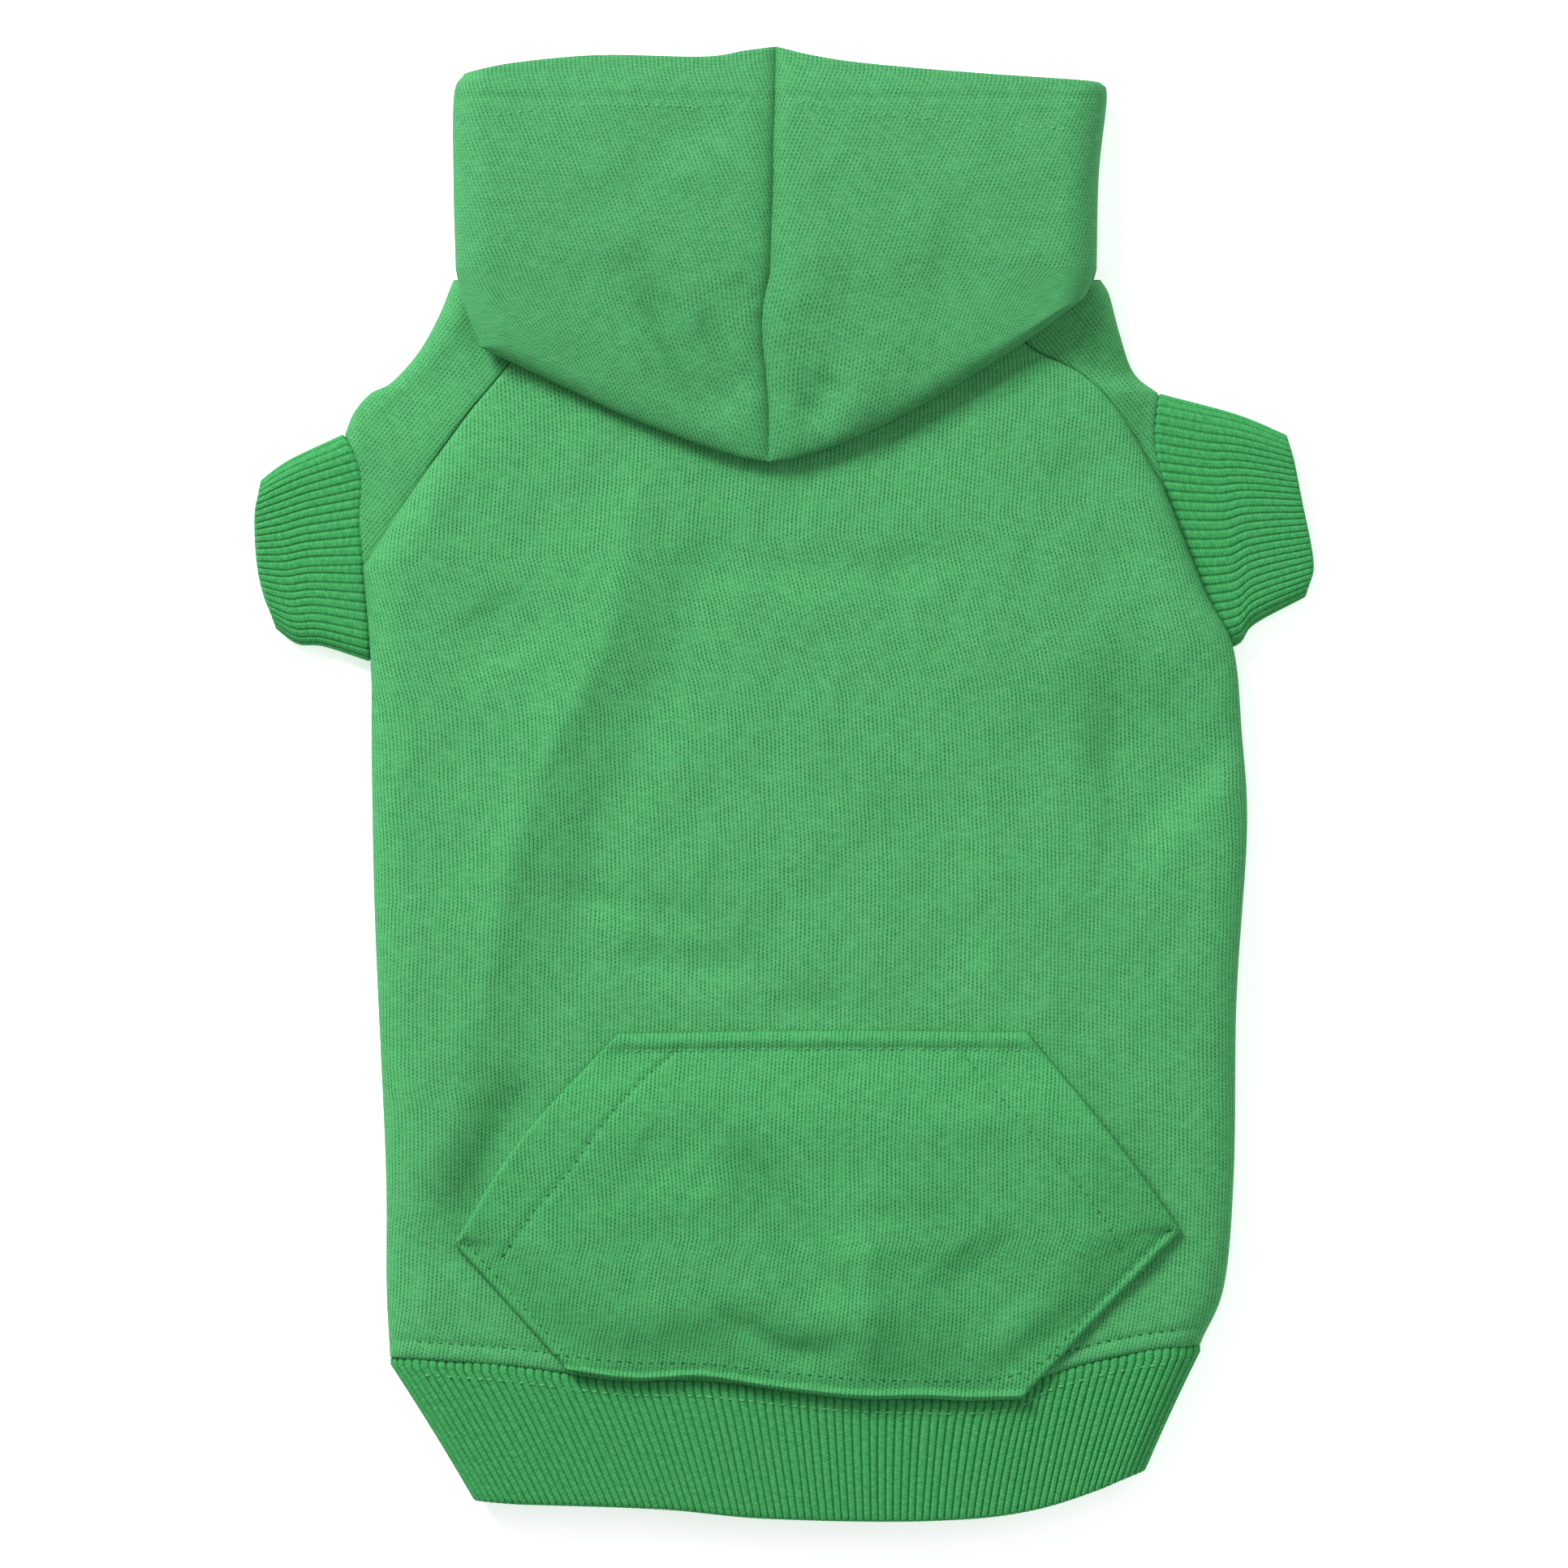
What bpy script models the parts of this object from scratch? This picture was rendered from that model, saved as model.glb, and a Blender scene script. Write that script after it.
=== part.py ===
"""A dog hoodie lying flat on its belly, back up, with the hood laid over the shoulders.

Each cut panel is one open skin with a Solidify wall, sewn edge to edge with its neighbours
across a small clearance. Lengths are metres. X runs across the garment, Y from hem to hood,
Z up from the surface that it lies on. Plan outlines are shares of the garment's own sizes.
"""
import math
from collections import namedtuple

import bpy
import numpy as np

# Cut sizes of the garment as it lies
CHEST_WIDTH = 0.2594
BACK_LENGTH = 0.3180
NECK_WIDTH = 0.1900
HOOD_RISE = 0.0684
HOOD_DROP = 0.0545
BAND_DEPTH = 0.0403
CUFF_LENGTH = 0.0400
POCKET_WIDTH = 0.2150
POCKET_HEIGHT = 0.1060

# Walls and clearances
FLEECE_WALL = 0.0020
RIB_WALL = 0.0024
SEAM_GAP = 0.0004
UNDER_GAP = 0.0012
LAYER_GAP = 0.0004

# Heights of the soft layers above the floor
BODY_HEIGHT = 0.0180
SIDE_LEVEL = 0.0109
UNDER_LEVEL = 0.0096
NECK_HEIGHT = 0.0170
CUFF_HEIGHT = 0.0096
BAND_HEIGHT = 0.0172
BAND_EDGE_HEIGHT = 0.0150
HOOD_LOFT = 0.0100
POCKET_LOFT = 0.0056
SEAM_DIP = 0.0008
CROWN_DIP = 0.0020

# Widths over which a panel rolls over at a fold, or rises from a seam
BODY_ROLL = 0.0130
SLEEVE_ROLL = 0.0080
HOOD_ROLL = 0.0110
POCKET_RAMP = 0.0150
CROWN_RAMP = 0.0040
UNDERARM_STRIP = 0.0034
BAND_SHOULDER = 0.0030

# Shares of a seam or leaf
STRIP_FADE = 0.40
CHEEK_FOLD_SHARE = 0.77

# How finely each panel is divided
FOLD_STEPS = 4
SIDE_ROWS = 12
RAGLAN_ROWS = 6
TUCK_ROWS = 3
BODY_MIDDLE = 12
SHOULDER_ROWS = 5
SLEEVE_MIDDLE = 3
CUFF_MIDDLE = 6
CUFF_RINGS = 4
BAND_RINGS = 5
HOOD_MIDDLE = 6
HOOD_FRONT_ROWS = 7
HOOD_POUCH_ROWS = 5
CHEEK_STEPS = 4
POCKET_LOW_ROWS = 6
POCKET_MOUTH_ROWS = 7
POCKET_MIDDLE = 8

Mark = namedtuple("Mark", "across along")
Level = namedtuple("Level", "at value")
Fold = namedtuple("Fold", "start finish reach depth")

# Body outlines: across in chest widths from the middle, along in back lengths from the hem
LEFT_SIDE = (
    Mark(-0.478, -0.002),
    Mark(-0.482, 0.064),
    Mark(-0.483, 0.177),
    Mark(-0.495, 0.396),
    Mark(-0.499, 0.550),
    Mark(-0.500, 0.644),
    Mark(-0.509, 0.731),
)
RIGHT_SIDE = (
    Mark(0.447, 0.010),
    Mark(0.474, 0.064),
    Mark(0.485, 0.170),
    Mark(0.488, 0.330),
    Mark(0.500, 0.487),
    Mark(0.494, 0.577),
    Mark(0.484, 0.657),
    Mark(0.451, 0.712),
    Mark(0.407, 0.802),
)
LEFT_RAGLAN = (
    Mark(-0.509, 0.731),
    Mark(-0.461, 0.791),
    Mark(-0.388, 0.873),
    Mark(-0.342, 0.919),
    Mark(-0.280, 0.995),
)
RIGHT_RAGLAN = (
    Mark(0.407, 0.802),
    Mark(0.353, 0.875),
    Mark(0.308, 0.912),
    Mark(0.245, 0.940),
    Mark(0.206, 0.995),
)
HEM_SEAM = (
    Mark(-0.478, -0.002),
    Mark(-0.343, -0.010),
    Mark(-0.228, -0.026),
    Mark(-0.123, -0.035),
    Mark(0.041, -0.042),
    Mark(0.203, -0.040),
    Mark(0.268, -0.017),
    Mark(0.358, 0.000),
    Mark(0.447, 0.010),
)
NAPE = (Mark(-0.280, 0.995), Mark(-0.037, 1.000), Mark(0.206, 0.995))
LEFT_UNDERARM = Mark(-0.489, 0.644)
RIGHT_UNDERARM = Mark(0.418, 0.648)
LEFT_FOLD_SHARE = 0.47
RIGHT_FOLD_SHARE = 0.36
LEFT_SHOULDER = (
    Mark(-0.406, 0.999),
    Mark(-0.423, 0.965),
    Mark(-0.446, 0.932),
    Mark(-0.477, 0.904),
    Mark(-0.501, 0.894),
    Mark(-0.520, 0.876),
    Mark(-0.530, 0.856),
)
RIGHT_SHOULDER = (
    Mark(0.333, 0.999),
    Mark(0.343, 0.985),
    Mark(0.355, 0.949),
    Mark(0.371, 0.913),
    Mark(0.399, 0.894),
)
LEFT_CUFF_SEAM = (
    Mark(-0.530, 0.856),
    Mark(-0.513, 0.820),
    Mark(-0.514, 0.775),
    Mark(-0.509, 0.731),
    Mark(-0.500, 0.644),
)
RIGHT_CUFF_SEAM = (
    Mark(0.399, 0.894),
    Mark(0.395, 0.849),
    Mark(0.407, 0.802),
    Mark(0.420, 0.720),
    Mark(0.431, 0.648),
)

# Cuffs: along in cuff widths from the shoulder end of the seam, across in cuff lengths outward
LEFT_CUFF_TOP = (Mark(0.00, 0.000), Mark(0.40, 0.113), Mark(0.62, 0.208))
LEFT_CUFF_END = (Mark(0.62, 0.208), Mark(0.65, 0.385), Mark(0.62, 0.620), Mark(0.51, 0.850))
LEFT_CUFF_UNDER = (Mark(0.51, 0.850), Mark(0.33, 0.925), Mark(0.14, 0.935), Mark(-0.20, 1.000))
RIGHT_CUFF_TOP = (Mark(0.00, 0.000), Mark(0.56, 0.077), Mark(0.95, 0.160))
RIGHT_CUFF_END = (Mark(0.95, 0.160), Mark(1.04, 0.395), Mark(1.13, 0.640), Mark(1.09, 0.768))
RIGHT_CUFF_UNDER = (Mark(1.09, 0.768), Mark(0.69, 0.878), Mark(0.56, 0.957), Mark(0.205, 1.000))

# Rib band: across in chest widths, along in band depths below the hem line
BAND_EDGE = (
    Mark(-0.381, -1.100),
    Mark(-0.176, -1.143),
    Mark(-0.049, -1.214),
    Mark(0.132, -1.232),
    Mark(0.258, -1.149),
    Mark(0.383, -0.880),
)

# Hood: across in neck widths, along in hood rises above the nape or hood drops below it
CROWN_SEAM = (
    Mark(0.000, 1.005),
    Mark(-0.004, 0.625),
    Mark(-0.010, 0.030),
)
POUCH_SEAM = (Mark(-0.010, 0.030), Mark(-0.022, -0.264), Mark(-0.013, -0.705), Mark(-0.012, -1.000))
LEFT_FACE_HEM = (
    Mark(0.000, 1.005),
    Mark(-0.050, 0.985),
    Mark(-0.116, 0.958),
    Mark(-0.275, 0.965),
    Mark(-0.404, 0.933),
    Mark(-0.487, 0.888),
)
RIGHT_FACE_HEM = (
    Mark(0.000, 1.005),
    Mark(0.056, 0.965),
    Mark(0.138, 0.930),
    Mark(0.305, 0.888),
    Mark(0.505, 0.850),
)
LEFT_HOOD_SIDE = (Mark(-0.487, 0.888), Mark(-0.503, 0.790), Mark(-0.503, 0.400), Mark(-0.499, 0.040))
RIGHT_HOOD_SIDE = (Mark(0.505, 0.850), Mark(0.515, 0.790), Mark(0.502, 0.450), Mark(0.498, 0.040))
LEFT_HOOD_FALL = (Mark(-0.499, 0.040), Mark(-0.486, -0.145), Mark(-0.460, -0.379))
RIGHT_HOOD_FALL = (Mark(0.498, 0.040), Mark(0.492, -0.020), Mark(0.478, -0.110))
LEFT_HOOD_LOW = (
    Mark(-0.012, -1.000),
    Mark(-0.060, -0.972),
    Mark(-0.133, -0.890),
    Mark(-0.243, -0.740),
    Mark(-0.327, -0.599),
    Mark(-0.460, -0.379),
)
RIGHT_HOOD_LOW = (
    Mark(-0.012, -1.000),
    Mark(0.032, -0.978),
    Mark(0.118, -0.877),
    Mark(0.226, -0.692),
    Mark(0.376, -0.374),
    Mark(0.478, -0.110),
)
LEFT_NECKLINE = (Mark(-0.499, 0.040), Mark(-0.345, 0.025), Mark(-0.170, -0.070), Mark(-0.020, -0.235))
RIGHT_NECKLINE = (Mark(0.498, 0.040), Mark(0.310, 0.025), Mark(0.160, -0.070), Mark(0.015, -0.235))
CHEEK_CORNER = 0.065

# Pocket: across in pocket widths from its middle, along in pocket heights from its lower edge
POCKET_BASE = (Mark(-0.344, 0.098), Mark(0.000, 0.010), Mark(0.283, -0.010))
POCKET_HEAD = (Mark(-0.274, 1.000), Mark(0.000, 1.008), Mark(0.288, 1.004))
POCKET_LEFT_SEAM = (Mark(-0.344, 0.098), Mark(-0.500, 0.412))
POCKET_LEFT_MOUTH = (Mark(-0.500, 0.412), Mark(-0.410, 0.700), Mark(-0.274, 1.000))
POCKET_RIGHT_SEAM = (Mark(0.283, -0.010), Mark(0.500, 0.448))
POCKET_RIGHT_MOUTH = (Mark(0.500, 0.448), Mark(0.410, 0.700), Mark(0.288, 1.004))

# Levels along a run, as shares of the height that they scale
RAGLAN_BACK_LEVELS = (
    Level(0.0, 0.61),
    Level(0.2, 0.66),
    Level(0.4, 0.80),
    Level(0.7, 0.92),
    Level(1.0, 0.96),
)
RAGLAN_SLEEVE_LEVELS = (
    Level(0.0, 0.57),
    Level(0.2, 0.58),
    Level(0.4, 0.78),
    Level(0.7, 0.93),
    Level(1.0, 1.0),
)
HOOD_FOLD_LEVELS = (
    Level(-1.0, 1.28),
    Level(-0.38, 1.24),
    Level(-0.15, 1.12),
    Level(0.04, 0.96),
    Level(0.2, 0.84),
    Level(0.5, 0.66),
    Level(0.9, 0.50),
)
HOOD_TOP_LEVELS = (
    Level(-1.0, 0.84),
    Level(-0.7, 0.92),
    Level(-0.3, 1.0),
    Level(0.1, 0.94),
    Level(0.45, 0.70),
    Level(0.8, 0.24),
    Level(1.0, -0.28),
)

# Valleys: ends as marks, reach in chest widths, depth in body heights
BACK_FOLDS = (
    Fold(Mark(-0.161, 0.798), Mark(-0.193, 0.673), 0.035, 0.10),
    Fold(Mark(-0.193, 0.673), Mark(-0.289, 0.506), 0.035, 0.12),
    Fold(Mark(-0.289, 0.506), Mark(-0.327, 0.371), 0.030, 0.11),
    Fold(Mark(-0.327, 0.371), Mark(-0.379, 0.194), 0.030, 0.12),
    Fold(Mark(-0.136, 0.736), Mark(0.196, 0.746), 0.020, 0.05),
    Fold(Mark(0.272, 0.610), Mark(0.349, 0.631), 0.050, 0.08),
    Fold(Mark(0.349, 0.631), Mark(0.451, 0.538), 0.045, 0.08),
    Fold(Mark(-0.289, 0.423), Mark(-0.110, 0.402), 0.022, 0.08),
    Fold(Mark(-0.212, 0.366), Mark(-0.060, 0.361), 0.022, 0.09),
    Fold(Mark(-0.034, 0.319), Mark(0.043, 0.319), 0.020, 0.06),
)
HOOD_FOLDS = (
    Fold(Mark(-0.205, -0.02), Mark(-0.100, -0.63), 0.035, 0.08),
    Fold(Mark(-0.118, -0.20), Mark(-0.031, -0.69), 0.030, 0.07),
    Fold(Mark(0.074, -0.57), Mark(0.056, -0.75), 0.030, 0.06),
    Fold(Mark(0.266, 0.03), Mark(0.280, 0.10), 0.060, 0.05),
)
POCKET_FOLDS = (
    Fold(Mark(-0.110, 0.269), Mark(-0.060, 0.190), 0.035, 0.08),
    Fold(Mark(-0.060, 0.190), Mark(-0.008, 0.105), 0.035, 0.08),
    Fold(Mark(0.120, 0.130), Mark(0.196, 0.040), 0.060, 0.10),
    Fold(Mark(-0.111, 0.038), Mark(0.030, 0.020), 0.022, 0.06),
)

COLOURS = {
    "fleece": (0.078, 0.366, 0.128, 1.0),
    "hood": (0.084, 0.376, 0.136, 1.0),
    "pocket": (0.060, 0.335, 0.108, 1.0),
    "rib": (0.048, 0.292, 0.088, 1.0),
}

HEM_ORIGIN = np.array((0.0077, -0.1688))
NAPE_ORIGIN = HEM_ORIGIN + (-0.0096, BACK_LENGTH)
POCKET_ORIGIN = HEM_ORIGIN + (0.0025, -0.0110)


class Curve:
    """A smooth plan curve through marks, read by the share of its length."""

    def __init__(self, points, smooth=True):
        points = [np.asarray(point, dtype=float) for point in points]
        if smooth and len(points) > 2:
            points = self.smoothed(points)
        self.points = np.array(points)
        runs = np.linalg.norm(np.diff(self.points, axis=0), axis=1)
        self.reached = np.concatenate(([0.0], np.cumsum(runs)))
        self.length = self.reached[-1]

    @staticmethod
    def smoothed(points, steps=12):
        """Catmull-Rom through the points."""
        ends = [2 * points[0] - points[1]] + points + [2 * points[-1] - points[-2]]
        dense = []
        for before, start, finish, after in zip(ends, ends[1:], ends[2:], ends[3:]):
            for step in range(steps):
                t = step / steps
                dense.append(0.5 * (
                    2 * start
                    + (finish - before) * t
                    + (2 * before - 5 * start + 4 * finish - after) * t ** 2
                    + (3 * start - before - 3 * finish + after) * t ** 3
                ))
        return dense + [points[-1]]

    def at(self, share):
        """The point at a share of the length."""
        reach = share * self.length
        return np.array([np.interp(reach, self.reached, self.points[:, axis]) for axis in (0, 1)])

    def read(self, shares):
        """The points at several shares."""
        return [self.at(share) for share in shares]

    def share_where(self, along):
        """The share of the length at which the curve reaches a place along the garment."""
        return float(np.interp(along, self.points[:, 1], self.reached)) / self.length

    def moved(self, across, along=0.0):
        """The same curve, moved in plan."""
        return Curve(self.points + (across, along), smooth=False)


def body_point(mark):
    """A mark of the body in plan."""
    return HEM_ORIGIN + (mark.across * CHEST_WIDTH, mark.along * BACK_LENGTH)


def body_curve(marks):
    """A curve through marks of the body."""
    return Curve([body_point(mark) for mark in marks])


def band_curve(marks):
    """A curve through marks of the rib band."""
    return Curve([HEM_ORIGIN + (mark.across * CHEST_WIDTH, mark.along * BAND_DEPTH) for mark in marks])


def hood_point(mark):
    """A mark of the hood in plan."""
    run = HOOD_RISE if mark.along > 0 else HOOD_DROP
    return NAPE_ORIGIN + (mark.across * NECK_WIDTH, mark.along * run)


def hood_curve(marks):
    """A curve through marks of the hood."""
    return Curve([hood_point(mark) for mark in marks])


def pocket_curve(marks):
    """A curve through marks of the pocket."""
    return Curve([
        POCKET_ORIGIN + (mark.across * POCKET_WIDTH, mark.along * POCKET_HEIGHT) for mark in marks
    ])


def cuff_curve(marks, seam, outward):
    """A curve through marks of a cuff, measured from its seam."""
    shoulder = seam.at(0.0)
    width = seam.at(1.0)[1] - shoulder[1]
    return Curve([
        shoulder + (outward * mark.across * CUFF_LENGTH, mark.along * width) for mark in marks
    ])


def level(table, at):
    """A table's value at a place, with straight runs between its rows."""
    return float(np.interp(at, [row.at for row in table], [row.value for row in table]))


def ease(share):
    """A smooth rise from 0 to 1."""
    share = min(max(share, 0.0), 1.0)
    return share * share * (3 - 2 * share)


def fold_turns():
    """The angles at which a quarter roll is cut, from the fold inward."""
    return [step * math.pi / 2 / FOLD_STEPS for step in range(FOLD_STEPS + 1)]


def fold_offsets(roll):
    """Distances from a fold at which a rolled panel has its points."""
    return [roll * (1 - math.cos(turn)) for turn in fold_turns()]


def fold_lifts():
    """How far a rolled panel has risen at each of those distances."""
    return [math.sin(turn) for turn in fold_turns()]


def leaf_lifts(middle):
    """The lifts across a leaf that is rolled at both sides."""
    lifts = fold_lifts()
    return lifts + [1.0] * (middle - 1) + lifts[::-1]


def spread(width, near, far, middle):
    """Places across a width: fixed ones at both ends, even ones between."""
    inner = np.linspace(near[-1], width - far[-1], middle + 1)[1:-1]
    return list(near) + list(inner) + [width - place for place in reversed(far)]


def nearness(point, start, finish):
    """The distance from a plan point to a straight stretch."""
    run = finish - start
    share = np.clip(np.dot(point - start, run) / max(np.dot(run, run), 1e-12), 0.0, 1.0)
    return float(np.linalg.norm(point - start - share * run))


def valley(point, folds, place, reach_size, depth_size):
    """How far folds press the cloth down at a plan point."""
    drop = 0.0
    for fold in folds:
        away = nearness(point, place(fold.start), place(fold.finish)) / (fold.reach * reach_size)
        drop = max(drop, fold.depth * depth_size * math.exp(-away * away))
    return drop


def row_between(left, right, places, base, head, share):
    """One row of a panel, bent like the panel's two end curves."""
    row = []
    width = np.linalg.norm(right - left)
    for place in places:
        u = place / width
        straight = (1 - u) * left + u * right
        low = base.at(u) - ((1 - u) * base.at(0.0) + u * base.at(1.0))
        high = head.at(u) - ((1 - u) * head.at(0.0) + u * head.at(1.0))
        row.append(straight + (1 - share) * low + share * high)
    return row


class Skin:
    """An open skin of quads that is given a wall of cloth."""

    def __init__(self):
        self.points = []
        self.faces = []

    def row(self, plan, heights):
        """Add a row of points and return their numbers."""
        first = len(self.points)
        self.points += [(place[0], place[1], height) for place, height in zip(plan, heights)]
        return list(range(first, len(self.points)))

    def join(self, first, second):
        """Fill between two rows of the same count."""
        for here, there in zip(range(len(first) - 1), range(1, len(first))):
            self.faces.append((first[here], first[there], second[there], second[here]))

    def made(self, name, wall, colour, collection, faces_up=True, sample=1):
        """Turn the skin into an object with a solid wall on its inner side."""
        rise = sum(self.normal_rise(face) for face in self.faces[:sample])
        if (rise > 0) != faces_up:
            self.faces = [tuple(reversed(face)) for face in self.faces]
        mesh = bpy.data.meshes.new(name)
        mesh.from_pydata(self.points, [], self.faces)
        mesh.shade_smooth()
        piece = bpy.data.objects.new(name, mesh)
        collection.objects.link(piece)
        mesh.materials.append(cloth_material(name, colour))
        thicken = piece.modifiers.new("Wall", "SOLIDIFY")
        thicken.thickness = wall
        thicken.offset = -1.0
        return piece

    def normal_rise(self, face):
        """The upward part of a face's normal."""
        corners = [np.array(self.points[index]) for index in face]
        return np.cross(corners[2] - corners[0], corners[3] - corners[1])[2]


def cloth_material(name, colour):
    """A matt cloth for one panel."""
    material = bpy.data.materials.new(name)
    material.use_nodes = True
    shader = material.node_tree.nodes["Principled BSDF"]
    shader.inputs["Base Color"].default_value = COLOURS[colour]
    shader.inputs["Roughness"].default_value = 0.9
    shader.inputs["Metallic"].default_value = 0.0
    return material


def torso_rows(low_edges, high_edges):
    """Shares along the torso's two edges, side rows first and raglan rows after."""
    left = []
    right = []
    for edges, count in ((low_edges, SIDE_ROWS), (high_edges, RAGLAN_ROWS)):
        shares = np.linspace(0.0, 1.0, count + 1)
        if left:
            shares = shares[1:]
        left += edges[0].read(shares)
        right += edges[1].read(shares)
    return left, right


def back_top(point):
    """The back panel's height away from its edges."""
    return BODY_HEIGHT - valley(point, BACK_FOLDS, body_point, CHEST_WIDTH, BODY_HEIGHT)


def build_back(collection):
    """The back panel, from the hem seam to the nape, rolled down to the side seams."""
    half = SEAM_GAP / 2
    left, right = torso_rows(
        (body_curve(LEFT_SIDE), body_curve(RIGHT_SIDE)),
        (body_curve(LEFT_RAGLAN).moved(half), body_curve(RIGHT_RAGLAN).moved(-half)),
    )
    base = body_curve(HEM_SEAM).moved(0.0, half)
    head = body_curve(NAPE).moved(0.0, -half)
    left[0] = base.at(0.0)
    right[0] = base.at(1.0)
    skin = Skin()
    rows = []
    lifts = leaf_lifts(BODY_MIDDLE)
    for number, (start, finish) in enumerate(zip(left, right)):
        share = number / (SIDE_ROWS + RAGLAN_ROWS)
        width = np.linalg.norm(finish - start)
        offsets = fold_offsets(BODY_ROLL)
        places = spread(width, offsets, offsets, BODY_MIDDLE)
        plan = row_between(start, finish, places, base, head, share)
        edge = SIDE_LEVEL
        if number > SIDE_ROWS:
            edge = BODY_HEIGHT * level(RAGLAN_BACK_LEVELS, (number - SIDE_ROWS) / RAGLAN_ROWS)
        dip = SEAM_DIP if number in (0, SIDE_ROWS + RAGLAN_ROWS) else 0.0
        heights = [edge + (back_top(p) - dip - edge) * lift for p, lift in zip(plan, lifts)]
        rows.append(skin.row(plan, heights))
    for first, second in zip(rows, rows[1:]):
        skin.join(first, second)
    return skin.made("back_panel", FLEECE_WALL, "fleece", collection)


def armhole_edge(raglan, underarm, inward):
    """The line where a sleeve is sewn in: raglan seam and the stretch hidden under the side."""
    shares = np.linspace(0.0, 1.0, RAGLAN_ROWS + 1)
    slope = [
        point + (inward * UNDERARM_STRIP * max(0.0, 1 - share / STRIP_FADE), 0.0)
        for point, share in zip(raglan.read(shares), shares)
    ]
    tuck = Curve([underarm, slope[0]])
    return tuck, slope


def build_belly(collection):
    """The belly panel, flat on the floor, curled up to the side seams."""
    base = body_curve(HEM_SEAM).moved(0.0, SEAM_GAP / 2)
    neck_marks = LEFT_NECKLINE[1:] + RIGHT_NECKLINE[:0:-1]
    throat = [hood_point(mark) - (0.0, 2 * SEAM_GAP) for mark in neck_marks]
    head = Curve([body_point(LEFT_RAGLAN[-1])] + throat[1:-1] + [body_point(RIGHT_RAGLAN[-1])])
    edges = []
    for side, raglan, underarm, inward in (
        (LEFT_SIDE, LEFT_RAGLAN, LEFT_UNDERARM, 1),
        (RIGHT_SIDE, RIGHT_RAGLAN, RIGHT_UNDERARM, -1),
    ):
        tuck, slope = armhole_edge(body_curve(raglan), body_point(underarm), inward)
        curve = body_curve(side)
        corner = curve.share_where(tuck.at(0.0)[1] - 2 * FLEECE_WALL)
        flank = curve.read(np.linspace(0.0, corner, SIDE_ROWS - TUCK_ROWS))
        hidden = tuck.read(np.linspace(0.0, 1.0, TUCK_ROWS + 1))
        shift = np.array((inward * UNDER_GAP, 0.0))
        edges.append(flank + [p + shift for p in hidden[:-1]] + [p + shift for p in slope])
    left, right = edges
    left[0] = base.at(0.0)
    right[0] = base.at(1.0)
    left[-1] = head.at(0.0)
    right[-1] = head.at(1.0)
    skin = Skin()
    rows = []
    lifts = leaf_lifts(BODY_MIDDLE)
    curled = SIDE_ROWS - TUCK_ROWS
    for number, (start, finish) in enumerate(zip(left, right)):
        share = number / (len(left) - 1)
        offsets = fold_offsets(BODY_ROLL)
        places = spread(np.linalg.norm(finish - start), offsets, offsets, BODY_MIDDLE)
        plan = row_between(start, finish, places, base, head, share)
        edge = UNDER_LEVEL if number < curled else 0.0
        rows.append(skin.row(plan, [edge * (1 - lift) for lift in lifts]))
    for first, second in zip(rows, rows[1:]):
        skin.join(first, second)
    return skin.made("belly_panel", FLEECE_WALL, "fleece", collection, faces_up=False)


def tube(name, plans, tops, lifts, wall, colour, collection):
    """A flattened tube: each ring has an upper and a lower leaf that meet at two folds."""
    skin = Skin()
    rings = []
    for plan, heights in zip(plans, tops):
        upper = [top * (1 + lift) / 2 for top, lift in zip(heights, lifts)]
        lower = [top * (1 - lift) / 2 for top, lift in zip(heights, lifts)]
        over = skin.row(plan, upper)
        under = skin.row(plan[1:-1], lower[1:-1])
        rings.append(over + under[::-1] + over[:1])
    for first, second in zip(rings, rings[1:]):
        skin.join(first, second)
    return skin.made(name, wall, colour, collection, sample=len(lifts) - 1)


def rise_share(distance, roll):
    """How far a rolled leaf has risen at a distance from its fold."""
    return math.sqrt(1 - (1 - min(distance / roll, 1.0)) ** 2)


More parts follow.
